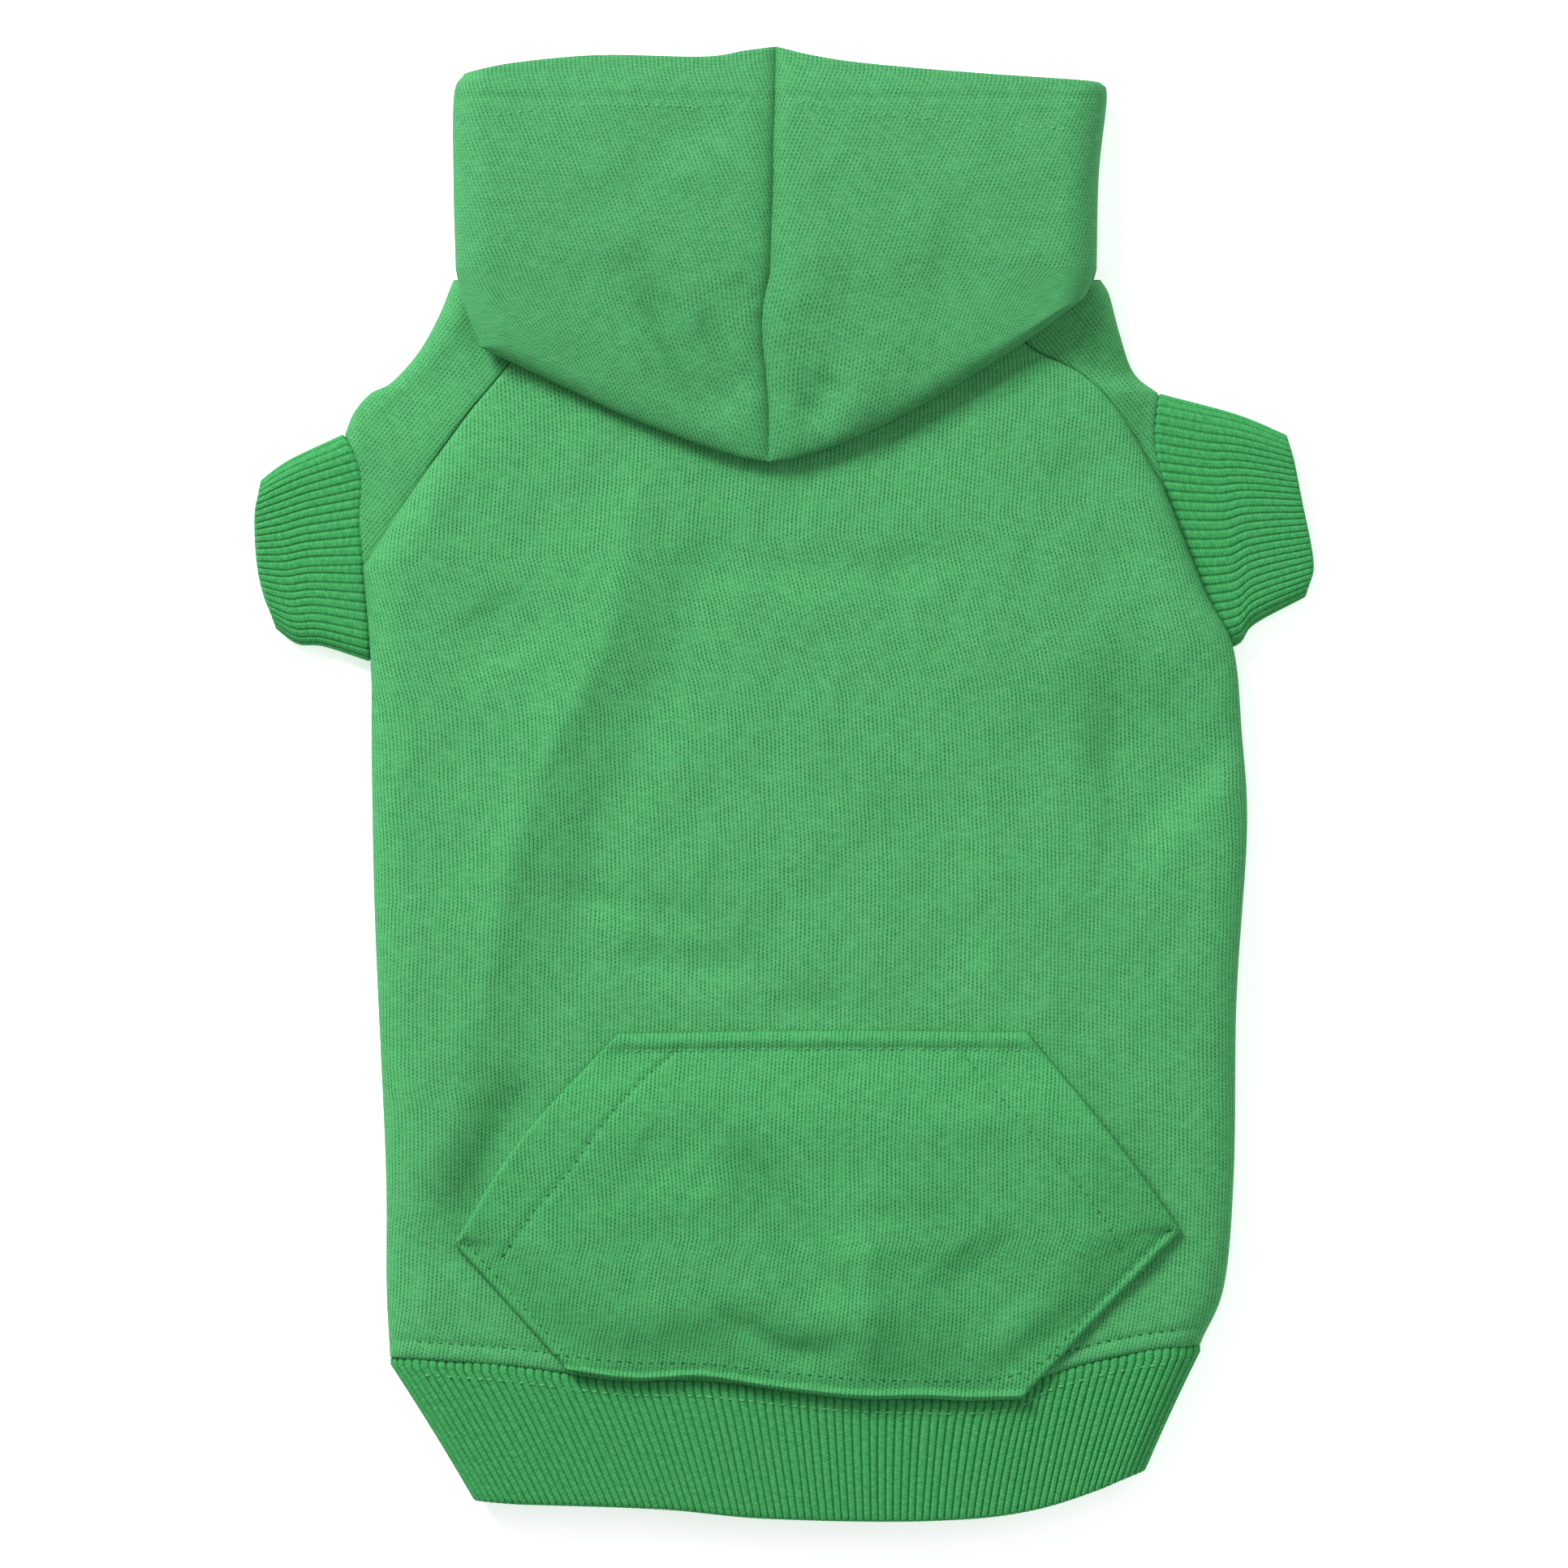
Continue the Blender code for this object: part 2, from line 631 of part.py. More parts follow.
def build_sleeve(name, sign, marks, collection):
    """A raglan sleeve: two leaves that meet along the shoulder and at the underarm."""
    raglan_marks, underarm, shoulder_marks, seam_marks, fold_share = marks
    raglan = body_curve(raglan_marks).moved(sign * SEAM_GAP / 2)
    slope = armhole_edge(raglan, body_point(underarm), -sign)[1]
    armhole = Curve(slope[::-1] + [body_point(underarm)], smooth=False)
    shoulder = body_curve(shoulder_marks)
    seam = body_curve(seam_marks)
    offsets = fold_offsets(SLEEVE_ROLL)
    seam_places = spread(seam.length, offsets, offsets, CUFF_MIDDLE)
    stations = [
        (shoulder.at(step / SHOULDER_ROWS), fold_share * step / SHOULDER_ROWS, 0.0, seam.length)
        for step in range(SHOULDER_ROWS)
    ]
    stations += [
        (seam.at(place / seam.length), fold_share + (1 - fold_share) * place / seam.length,
         place, seam.length - place)
        for place in seam_places
    ]
    raglan_share = 1 - np.linalg.norm(body_point(underarm) - slope[0]) / armhole.length
    skin = Skin()
    over = []
    under = []
    count = FOLD_STEPS + SLEEVE_MIDDLE
    for number, (start, share, past_shoulder, to_underarm) in enumerate(stations):
        finish = armhole.at(share)
        width = np.linalg.norm(finish - start)
        places = spread(width, offsets, [0.0], SLEEVE_MIDDLE)
        if width <= 2 * SLEEVE_ROLL:
            wanted = offsets + [width] * SLEEVE_MIDDLE
            places = [min(place, width * step / count) for step, place in enumerate(wanted)]
        plan = [start + (finish - start) * place / width for place in places]
        near_top = CUFF_HEIGHT + (NECK_HEIGHT - CUFF_HEIGHT) * (1 - ease(number / SHOULDER_ROWS))
        far_top = NECK_HEIGHT * level(RAGLAN_SLEEVE_LEVELS, max(0.0, 1 - share / raglan_share))
        upper = []
        lower = []
        for place in places:
            lift = min(
                rise_share(place + past_shoulder, SLEEVE_ROLL), rise_share(to_underarm, SLEEVE_ROLL),
            )
            top = near_top + (far_top - near_top) * ease(place / width)
            upper.append(top * (1 + lift) / 2)
            lower.append(top * (1 - lift) / 2)
        row = skin.row(plan, upper)
        over.append(row)
        if number == len(stations) - 1:
            under.append(row)
        elif number <= SHOULDER_ROWS:
            under.append(row[:1] + skin.row(plan[1:], lower[1:]))
        else:
            under.append(skin.row(plan, lower))
    for first, second in zip(over, over[1:]):
        skin.join(first, second)
    upper_faces = len(skin.faces)
    for first, second in zip(under, under[1:]):
        skin.join(second, first)
    return skin.made(name, FLEECE_WALL, "fleece", collection, sample=upper_faces)


def build_cuff(name, sign, seam_marks, marks, collection):
    """A ribbed cuff, narrower at its free end."""
    shift = sign * 2 * SEAM_GAP
    seam = body_curve(seam_marks).moved(shift)
    top_marks, end_marks, under_marks = marks
    top = cuff_curve(top_marks, seam, sign)
    end = cuff_curve(end_marks, seam, sign)
    under = cuff_curve(under_marks[::-1], seam, sign)
    offsets = fold_offsets(SLEEVE_ROLL)
    lifts = leaf_lifts(CUFF_MIDDLE)
    plans = []
    for ring in range(CUFF_RINGS + 1):
        share = ring / CUFF_RINGS
        start = top.at(share)
        finish = (1 - share) * (seam.at(1.0) - under.at(0.0)) + under.at(share)
        places = spread(np.linalg.norm(finish - start), offsets, offsets, CUFF_MIDDLE)
        plans.append(row_between(start, finish, places, seam, end, share))
    tops = [[CUFF_HEIGHT] * len(plan) for plan in plans]
    return tube(name, plans, tops, lifts, RIB_WALL, "rib", collection)


def build_band(collection):
    """The rib band at the hem, a flattened tube that draws in below the body."""
    seam = body_curve(HEM_SEAM).moved(0.0, -SEAM_GAP / 2)
    edge = band_curve(BAND_EDGE)
    offsets = fold_offsets(BODY_ROLL)
    lifts = leaf_lifts(BODY_MIDDLE)
    plans = []
    tops = []
    for ring in range(BAND_RINGS + 1):
        share = max(0.0, ring - 1) / (BAND_RINGS - 1)
        drop = (0.0, -BAND_SHOULDER * (1 - share) if ring else 0.0)
        start = (1 - share) * (seam.at(0.0) + drop) + share * edge.at(0.0)
        finish = (1 - share) * (seam.at(1.0) + drop) + share * edge.at(1.0)
        places = spread(np.linalg.norm(finish - start), offsets, offsets, BODY_MIDDLE)
        plan = row_between(start, finish, places, seam, edge, share)
        plans.append(plan)
        tops.append([BAND_HEIGHT + share * (BAND_EDGE_HEIGHT - BAND_HEIGHT)] * len(plan))
    return tube("hem_band", plans, tops, lifts, RIB_WALL, "rib", collection)


def hood_share(point):
    """How far a plan point lies along the hood, as a mark."""
    along = point[1] - NAPE_ORIGIN[1]
    return along / (HOOD_RISE if along > 0 else HOOD_DROP)


def hood_top(point):
    """The hood's height away from its folds."""
    loft = HOOD_LOFT * level(HOOD_TOP_LEVELS, hood_share(point))
    return BODY_HEIGHT + loft - valley(point, HOOD_FOLDS, hood_point, NECK_WIDTH, BODY_HEIGHT)


def hood_fold(point):
    """The height of the hood's outer fold."""
    return BODY_HEIGHT * level(HOOD_FOLD_LEVELS, hood_share(point))


def build_hood(name, sign, marks, collection):
    """One half of the hood: the upper leaf, the cheek under it and the pouch behind the nape."""
    hem_marks, side_marks, fall_marks, low_marks = marks
    gap = sign * SEAM_GAP / 2
    hem = hood_curve(hem_marks)
    low = hood_curve(low_marks)
    crown = hood_curve(CROWN_SEAM)
    pouch_seam = hood_curve(POUCH_SEAM)
    side = hood_curve(side_marks)
    fall = hood_curve(fall_marks)
    nape = Curve([pouch_seam.at(0.0), fall.at(0.0)])
    offsets = fold_offsets(HOOD_ROLL)
    lifts = fold_lifts()
    pouch_run = pouch_seam.length
    pouch_places = spread(pouch_run, [0.0], offsets, HOOD_POUCH_ROWS)
    row_lifts = [1.0] * (HOOD_FRONT_ROWS + HOOD_POUCH_ROWS) + lifts[::-1]
    stations = [
        (crown.at(share), side.at(share), hem, nape, share)
        for share in np.linspace(0.0, 1.0, HOOD_FRONT_ROWS + 1)[:-1]
    ]
    stations += [
        (pouch_seam.at(place / pouch_run), fall.at(place / pouch_run), nape, low, place / pouch_run)
        for place in pouch_places
    ]
    near = [0.0, CROWN_RAMP]
    column_lifts = [1.0] * (HOOD_MIDDLE + 1) + lifts[::-1]
    skin = Skin()
    upper = []
    plans = []
    for (start, finish, base, head, share), row_lift in zip(stations, row_lifts):
        start = start + (gap, 0.0)
        places = spread(np.linalg.norm(finish - start), near, offsets, HOOD_MIDDLE)
        plan = row_between(start, finish, places, base, head, share)
        heights = []
        for number, (point, column_lift) in enumerate(zip(plan, column_lifts)):
            top = hood_top(point) - (CROWN_DIP if number == 0 else 0.0)
            fold = hood_fold(point)
            heights.append(fold + (top - fold) * min(row_lift, column_lift))
        upper.append(skin.row(plan, heights))
        plans.append(plan)
    nape_row = HOOD_FRONT_ROWS
    neckline = hood_curve(LEFT_NECKLINE if sign < 0 else RIGHT_NECKLINE)
    front = cheek_rows(skin, upper, plans[:nape_row + 1], sign, neckline, offsets, lifts)
    back = pouch_rows(skin, upper[nape_row:], plans[nape_row:], row_lifts[nape_row:], column_lifts)
    for first, second in list(zip(front, front[1:])) + list(zip(back, back[1:])):
        skin.join(first, second)
    return skin.made(name, FLEECE_WALL, "hood", collection)


def cheek_rows(skin, upper, plans, sign, neckline, offsets, lifts):
    """The hood's front leaf, folded under along the side and narrowing from chin to face hem."""
    corner = plans[0][-1] + (-sign * CHEEK_CORNER * NECK_WIDTH, 0.0)
    chin = neckline.at(1.0)
    rows = []
    for number, plan in enumerate(plans):
        share = number / (len(plans) - 1)
        start = plan[-1]
        finish = (1 - share) * corner + share * chin
        width = np.linalg.norm(finish - start)
        fold = [min(place, width * turn * CHEEK_FOLD_SHARE) for place, turn in zip(offsets, lifts)]
        places = spread(width, fold, [0.0], CHEEK_STEPS)
        leaf = row_between(start, finish, places, Curve([start, finish]), neckline, share ** 2)
        height = hood_fold(start)
        drops = lifts + [1.0] * CHEEK_STEPS
        under = skin.row(leaf[1:], [height * (1 - drop) for drop in drops[1:]])
        rows.append(upper[number] + under)
    return rows


def pouch_rows(skin, upper, plans, row_lifts, column_lifts):
    """The hood's rear leaf, lying on the back from the nape to the lower fold."""
    rest = BODY_HEIGHT + LAYER_GAP
    rows = []
    for number, (plan, row_lift) in enumerate(zip(plans, row_lifts)):
        if number == len(plans) - 1:
            rows.append(upper[number] + upper[number][-2::-1])
            continue
        heights = []
        for point, column_lift in zip(plan, column_lifts):
            fold = hood_fold(point)
            heights.append(fold - (fold - rest) * min(row_lift, column_lift))
        under = skin.row(plan[:-1], heights[:-1])
        rows.append(upper[number] + under[::-1])
    return rows


def build_pocket(collection):
    """The pouch pocket, sewn down all round but for its two slanted hand openings."""
    base = pocket_curve(POCKET_BASE)
    head = pocket_curve(POCKET_HEAD)
    edges = []
    for seam_marks, mouth_marks in (
        (POCKET_LEFT_SEAM, POCKET_LEFT_MOUTH),
        (POCKET_RIGHT_SEAM, POCKET_RIGHT_MOUTH),
    ):
        seam = pocket_curve(seam_marks).read(np.linspace(0.0, 1.0, POCKET_LOW_ROWS + 1))
        mouth = pocket_curve(mouth_marks).read(np.linspace(0.0, 1.0, POCKET_MOUTH_ROWS + 1))
        edges.append(seam + mouth[1:])
    count = POCKET_LOW_ROWS + POCKET_MOUTH_ROWS
    ramp = [0.0, POCKET_RAMP / 3, POCKET_RAMP * 2 / 3, POCKET_RAMP]
    seat = BODY_HEIGHT + LAYER_GAP + FLEECE_WALL
    skin = Skin()
    rows = []
    for number, (start, finish) in enumerate(zip(*edges)):
        share = number / count
        width = np.linalg.norm(finish - start)
        places = spread(width, ramp, ramp, POCKET_MIDDLE)
        plan = row_between(start, finish, places, base, head, share)
        open_share = max(0.0, (number - POCKET_LOW_ROWS) / POCKET_MOUTH_ROWS)
        mouth = math.sqrt(math.sin(math.pi * open_share)) if 0 < open_share < 1 else 0.0
        reach = min(share, 1 - share) * POCKET_HEIGHT / POCKET_RAMP
        heights = []
        for point, place in zip(plan, places):
            inward = ease(min(place, width - place) / POCKET_RAMP)
            rise = POCKET_LOFT * ease(reach) * (mouth + (1 - mouth) * inward)
            press = valley(point, POCKET_FOLDS, body_point, CHEST_WIDTH, BODY_HEIGHT)
            heights.append(seat + max(0.0, rise - press))
        rows.append(skin.row(plan, heights))
    for first, second in zip(rows, rows[1:]):
        skin.join(first, second)
    return skin.made("pocket", FLEECE_WALL, "pocket", collection)


def centre_on_origin(pieces):
    """Move the pieces so that their common box stands centred on the origin."""
    corners = np.array([vertex.co[:] for piece in pieces for vertex in piece.data.vertices])
    middle = (corners.min(axis=0) + corners.max(axis=0)) / 2
    for piece in pieces:
        piece.location = (-middle[0], -middle[1], -corners[:, 2].min())


def main():
    """Build every panel of the hoodie."""
    for leftover in list(bpy.data.objects):
        bpy.data.objects.remove(leftover)
    collection = bpy.data.collections.new("dog_hoodie")
    bpy.context.scene.collection.children.link(collection)
    left_sleeve = (LEFT_RAGLAN, LEFT_UNDERARM, LEFT_SHOULDER, LEFT_CUFF_SEAM, LEFT_FOLD_SHARE)
    right_sleeve = (RIGHT_RAGLAN, RIGHT_UNDERARM, RIGHT_SHOULDER, RIGHT_CUFF_SEAM, RIGHT_FOLD_SHARE)
    left_cuff = (LEFT_CUFF_TOP, LEFT_CUFF_END, LEFT_CUFF_UNDER)
    right_cuff = (RIGHT_CUFF_TOP, RIGHT_CUFF_END, RIGHT_CUFF_UNDER)
    left_hood = (LEFT_FACE_HEM, LEFT_HOOD_SIDE, LEFT_HOOD_FALL, LEFT_HOOD_LOW)
    right_hood = (RIGHT_FACE_HEM, RIGHT_HOOD_SIDE, RIGHT_HOOD_FALL, RIGHT_HOOD_LOW)
    pieces = [
        build_back(collection),
        build_belly(collection),
        build_sleeve("sleeve_left", -1, left_sleeve, collection),
        build_sleeve("sleeve_right", 1, right_sleeve, collection),
        build_cuff("cuff_left", -1, LEFT_CUFF_SEAM, left_cuff, collection),
        build_cuff("cuff_right", 1, RIGHT_CUFF_SEAM, right_cuff, collection),
        build_band(collection),
        build_hood("hood_left", -1, left_hood, collection),
        build_hood("hood_right", 1, right_hood, collection),
        build_pocket(collection),
    ]
    centre_on_origin(pieces)


main()
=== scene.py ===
"""The looks of a knitted fleece dog hoodie that lies flat, back up, with its hood laid down.

Each cut panel is a sheet of cloth in the place of its solid: jersey with its columns of
stitches, rib knit with real ribs, rolled folds, seams that pull in and rows of topstitching.
Lengths are metres. X runs across the garment, Y from hem to hood, Z up from the floor.
"""
import logging
import math
from dataclasses import dataclass
from enum import Enum
from typing import Callable, NamedTuple, Sequence

import bmesh
import bpy
import numpy as np
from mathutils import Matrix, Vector
from mathutils.bvhtree import BVHTree


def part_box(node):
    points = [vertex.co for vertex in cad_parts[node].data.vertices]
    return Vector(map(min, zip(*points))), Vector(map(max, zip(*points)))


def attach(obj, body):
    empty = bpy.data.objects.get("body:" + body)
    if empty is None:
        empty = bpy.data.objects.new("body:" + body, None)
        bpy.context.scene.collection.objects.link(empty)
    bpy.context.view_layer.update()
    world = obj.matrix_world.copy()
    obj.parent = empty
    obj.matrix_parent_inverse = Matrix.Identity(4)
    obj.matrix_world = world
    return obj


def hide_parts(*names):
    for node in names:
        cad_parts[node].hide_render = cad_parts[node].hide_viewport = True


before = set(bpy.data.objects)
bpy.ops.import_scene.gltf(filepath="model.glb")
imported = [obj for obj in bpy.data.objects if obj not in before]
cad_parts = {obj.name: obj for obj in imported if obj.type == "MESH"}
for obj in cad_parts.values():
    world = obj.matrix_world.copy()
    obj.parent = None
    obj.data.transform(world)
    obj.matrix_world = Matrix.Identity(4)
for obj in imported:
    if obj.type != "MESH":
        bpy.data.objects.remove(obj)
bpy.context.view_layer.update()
KNIT_MAP = "knit"
CREST_ROUND = 0.0016
WAVES = 20
WAVE_LENGTHS = (0.014, 0.060)
FOLD_END_SHARE = 0.30
FOLD_SPACING = 0.006
LINE_SPACING = 0.008

Array = np.ndarray
logger = logging.getLogger("dog_hoodie")


class Mark(NamedTuple):
    """A plan place, in shares of two of the garment's sizes."""

    across: float
    along: float


def drawn(*places: tuple[float, float]) -> tuple[Mark, ...]:
    """Marks from their shares across and along."""
    return tuple(Mark(*place) for place in places)


class Level(NamedTuple):
    """A share of a height at a place along a run."""

    at: float
    value: float


class Fold(NamedTuple):
    """A valley along a run of marks; a negative depth makes a ridge, which may have a crest."""

    run: tuple[Mark, ...]
    reach: float
    depth: float
    crest: bool = False


class PlanCurve:
    """A smooth plan curve through points, read by the share of its length."""

    def __init__(self, points: Sequence[Array], smooth: bool = True) -> None:
        """Pass a curve through the points.

        Args:
            points: Plan points in order.
            smooth: Whether the curve is rounded between the points.
        """
        dense = np.array([np.asarray(point, dtype=float) for point in points])
        if smooth and len(dense) > 2:
            dense = self._rounded(dense)
        self.points = dense
        runs = np.linalg.norm(np.diff(dense, axis=0), axis=1)
        self.reached = np.concatenate(([0.0], np.cumsum(runs)))
        self.length = float(self.reached[-1])

    @staticmethod
    def _rounded(points: Array, steps: int = 12) -> Array:
        """Fill in a Catmull-Rom curve.

        Args:
            points: The marks that the curve passes through.
            steps: Pieces between one mark and the next.

        Returns:
            The dense points.
        """
        ends = np.vstack((2 * points[0] - points[1], points, 2 * points[-1] - points[-2]))
        t = (np.arange(steps) / steps)[:, None]
        dense = []
        for before, start, finish, after in zip(ends, ends[1:], ends[2:], ends[3:]):
            dense.append(0.5 * (
                2 * start
                + (finish - before) * t
                + (2 * before - 5 * start + 4 * finish - after) * t ** 2
                + (3 * start - before - 3 * finish + after) * t ** 3
            ))
        return np.vstack(dense + [points[-1:]])

    def at(self, shares: Array | float) -> Array:
        """Read points off the curve.

        Args:
            shares: Shares of the curve's length.

        Returns:
            One plan point for each share.
        """
        reach = np.asarray(shares) * self.length
        return np.stack(
            [np.interp(reach, self.reached, self.points[:, axis]) for axis in (0, 1)], axis=-1
        )

    def moved(self, across: float, along: float = 0.0) -> "PlanCurve":
        """The same curve, moved in plan."""
        return PlanCurve(self.points + (across, along), smooth=False)

    def beside(self, distance: float) -> "PlanCurve":
        """The curve that runs at a distance to the left of this one."""
        runs = np.gradient(self.points, axis=0)
        runs /= np.linalg.norm(runs, axis=1)[:, None]
        return PlanCurve(self.points + distance * runs[:, ::-1] * (-1, 1), smooth=False)

    def part(self, start: float, finish: float, count: int = 60) -> "PlanCurve":
        """The stretch between two shares of the length."""
        return PlanCurve(self.at(np.linspace(start, finish, count)), smooth=False)


def ease(share: Array | float) -> Array:
    """A smooth rise from 0 to 1."""
    held = np.clip(share, 0.0, 1.0)
    return held * held * (3 - 2 * held)


def rolled(distance: Array | float, roll: float) -> Array:
    """How far cloth has risen, from 0 to 1, at a distance from a fold that is rolled over."""
    return np.sqrt(np.clip(1 - (1 - np.clip(np.asarray(distance) / roll, 0.0, 1.0)) ** 2, 0.0, 1.0))


def bell(distance: Array | float, reach: float) -> Array:
    """A hump that is 1 at no distance and falls away over a reach."""
    return np.exp(-(distance / reach) ** 2)


def raised(plan: Array, height: Array) -> Array:
    """Plan points at their heights."""
    return np.concatenate((plan, height[..., None]), axis=-1)


def linked(name: str, data: bpy.types.ID) -> bpy.types.Object:
    """An object in the scene for a mesh, a lamp or a camera."""
    made = bpy.data.objects.new(name, data)
    bpy.context.scene.collection.objects.link(made)
    return made


def level(table: Sequence[Level], at: Array | float) -> Array:
    """A table's value at a place, with straight runs between its rows."""
    return np.interp(at, [row.at for row in table], [row.value for row in table])


def spread(widths: Array, near: Sequence[float], far: Sequence[float], steps: int) -> Array:
    """Places across several widths: fixed ones at both ends, even ones between.

    Args:
        widths: One width for each row.
        near: Fixed places at the start.
        far: Fixed places at the finish, measured from it.
        steps: Even steps between the fixed places.

    Returns:
        The places by row and column, in rising order.
    """
    widths = np.atleast_1d(widths)[:, None]
    inner = np.arange(1, steps)[None] / steps
    first, last = np.array(near), np.array(far)
    return np.hstack((
        np.broadcast_to(first, (len(widths), len(first))),
        first[-1] + (widths - first[-1] - last[-1]) * inner,
        widths - last[::-1],
    ))


def ruled(edges: Sequence[Array], ends: Sequence[PlanCurve], shares: Array,
          places: Sequence[Sequence[float]], steps: int) -> tuple[Array, Array, Array]:
    """Rows of a panel from edge to edge, bent like the panel's two end curves.

    Args:
        edges: The first point of each row, and the last.
        ends: The curve of the first row, and of the last.
        shares: How far each row is from the first to the last.
        places: Fixed places at the start of a row, and at its finish.
        steps: Even steps between the fixed places.

    Returns:
        Plan points by row and column, and how far each is from its row's start and finish.
    """
    starts, finishes = edges
    widths = np.linalg.norm(finishes - starts, axis=1)
    reached = spread(widths, *places, steps)
    across = reached / widths[:, None]
    u = across[..., None]
    straight = (1 - u) * starts[:, None] + u * finishes[:, None]
    low, high = (
        curve.at(across) - ((1 - u) * curve.at(0.0) + u * curve.at(1.0)) for curve in ends
    )
    v = shares[:, None, None]
    return straight + (1 - v) * low + v * high, reached, widths[:, None] - reached


def knit_grid(points: Array) -> Array:
    """The knit's own coordinates over a grid, in metres.

    Args:
        points: Points by row and column.

    Returns:
        For each point, its distance along the row from the middle and along the middle column.
    """
    across = np.concatenate(
        (np.zeros((len(points), 1)),
         np.cumsum(np.linalg.norm(np.diff(points, axis=1), axis=2), axis=1)), axis=1,
    )
    middle = points.shape[1] // 2
    across -= across[:, middle:middle + 1]
    run = np.linalg.norm(np.diff(points[:, middle], axis=0), axis=1)
    along = np.concatenate(([0.0], np.cumsum(run)))
    return np.stack((across, np.broadcast_to(along[:, None], across.shape)), axis=-1)


class Line(NamedTuple):
    """A groove pressed along a curve by a row of stitches or a turned edge."""

    curve: PlanCurve
    reach: float
    depth: float


class Relief:
    """The valleys, ridges and stitched lines pressed into a panel, and its unevenness."""

    def __init__(self, folds: Sequence[Fold], place: Callable[[Mark], Array], seed: int,
                 height: float, lines: Sequence[Line] = ()) -> None:
        """Place the folds.

        Args:
            folds: The folds, in the panel's marks.
            place: The function that turns a mark into a plan point.
            seed: Which unevenness the cloth has.
            height: How uneven the cloth is.
            lines: Grooves as deep at their ends as between.
        """
        self.folds = [(PlanCurve([place(mark) for mark in fold.run]), fold) for fold in folds]
        self.lines = lines
        chance = np.random.default_rng(seed)
        lengths = chance.uniform(*WAVE_LENGTHS, WAVES)
        turns = chance.uniform(0.0, math.pi, WAVES)
        self.waves = np.stack((np.cos(turns), np.sin(turns))) * (2 * math.pi / lengths)
        self.phases = chance.uniform(0.0, 2 * math.pi, WAVES)
        self.height = height

    @staticmethod
    def _nearness(curve: PlanCurve, flat: Array, spacing: float) -> tuple[Array, Array]:
        """How far points are from a curve, and where along it.

        Args:
            curve: The curve.
            flat: Plan points in one list.
            spacing: The length of the straight pieces that stand for the curve.

        Returns:
            The distances, and the shares of the curve's length.
        """
        spots = curve.at(np.linspace(0.0, 1.0, max(3, int(curve.length / spacing))))
        runs = np.diff(spots, axis=0)
        best = np.full(len(flat), np.inf)
        share = np.zeros(len(flat))
        for number, (spot, run) in enumerate(zip(spots, runs)):
            offset = flat - spot
            t = np.clip(offset @ run / (run @ run), 0.0, 1.0)
            away = np.linalg.norm(offset - t[:, None] * run, axis=1)
            closer = away < best
            best = np.where(closer, away, best)
            share = np.where(closer, (number + t) / len(runs), share)
        return best, share

    def drop(self, points: Array) -> Array:
        """How far the cloth lies below its smooth form.

        Args:
            points: Plan points of any shape, with two coordinates last.

        Returns:
            The drop at each point.
        """
        flat = points.reshape(-1, 2)
        total = -self.height * np.sin(flat @ self.waves + self.phases).sum(axis=1) / 4
        for curve, fold in self.folds:
            away, share = self._nearness(curve, flat, FOLD_SPACING)
            from_end = ease(np.minimum(share, 1 - share) / FOLD_END_SHARE)
            taper = FOLD_END_SHARE + (1 - FOLD_END_SHARE) * from_end
            profile = bell(away, fold.reach)
            if fold.crest:
                profile = np.exp((CREST_ROUND - np.hypot(away, CREST_ROUND)) / fold.reach)
            total += fold.depth * taper * profile
        for curve, reach, depth in self.lines:
            away, _ = self._nearness(curve, flat, LINE_SPACING)
            total += depth * bell(away, reach)
        return total.reshape(points.shape[:-1])


def math_node(operation: str, swapped: bool = False) -> Callable:
    """A method of Value that adds one Math node.

    Args:
        operation: The node's operation.
        swapped: Whether the other number comes first.

    Returns:
        The method.
    """
    def method(self: "Value", other: "Value | float" = 0.0) -> "Value":
        """Add the node and hold its result."""
        first, second = (other, self) if swapped else (self, other)
        return self.graph.number("ShaderNodeMath", {"operation": operation}, {0: first, 1: second})

    return method


class Value:
    """A number inside a shader, on which Python's operators add Math nodes."""

    __add__ = math_node("ADD")
    __radd__ = math_node("ADD", swapped=True)
    __sub__ = math_node("SUBTRACT")
    __rsub__ = math_node("SUBTRACT", swapped=True)
    __mul__ = math_node("MULTIPLY")
    __rmul__ = math_node("MULTIPLY", swapped=True)
    __truediv__ = math_node("DIVIDE")
    __pow__ = math_node("POWER")
    fraction = math_node("FRACT")
    floor = math_node("FLOOR")
    modulo = math_node("FLOORED_MODULO")
    size = math_node("ABSOLUTE")

    def __init__(self, graph: "Graph", socket: bpy.types.NodeSocket) -> None:
        """Hold a socket of a graph."""
        self.graph = graph
        self.socket = socket

    def stepped(self, low: float, high: float) -> "Value":
        """A smooth step from 0 at low to 1 at high."""
        return self.graph.number(
            "ShaderNodeMapRange", {"interpolation_type": "SMOOTHSTEP"},
            {"Value": self, "From Min": low, "From Max": high, "To Min": 0.0, "To Max": 1.0},
        )


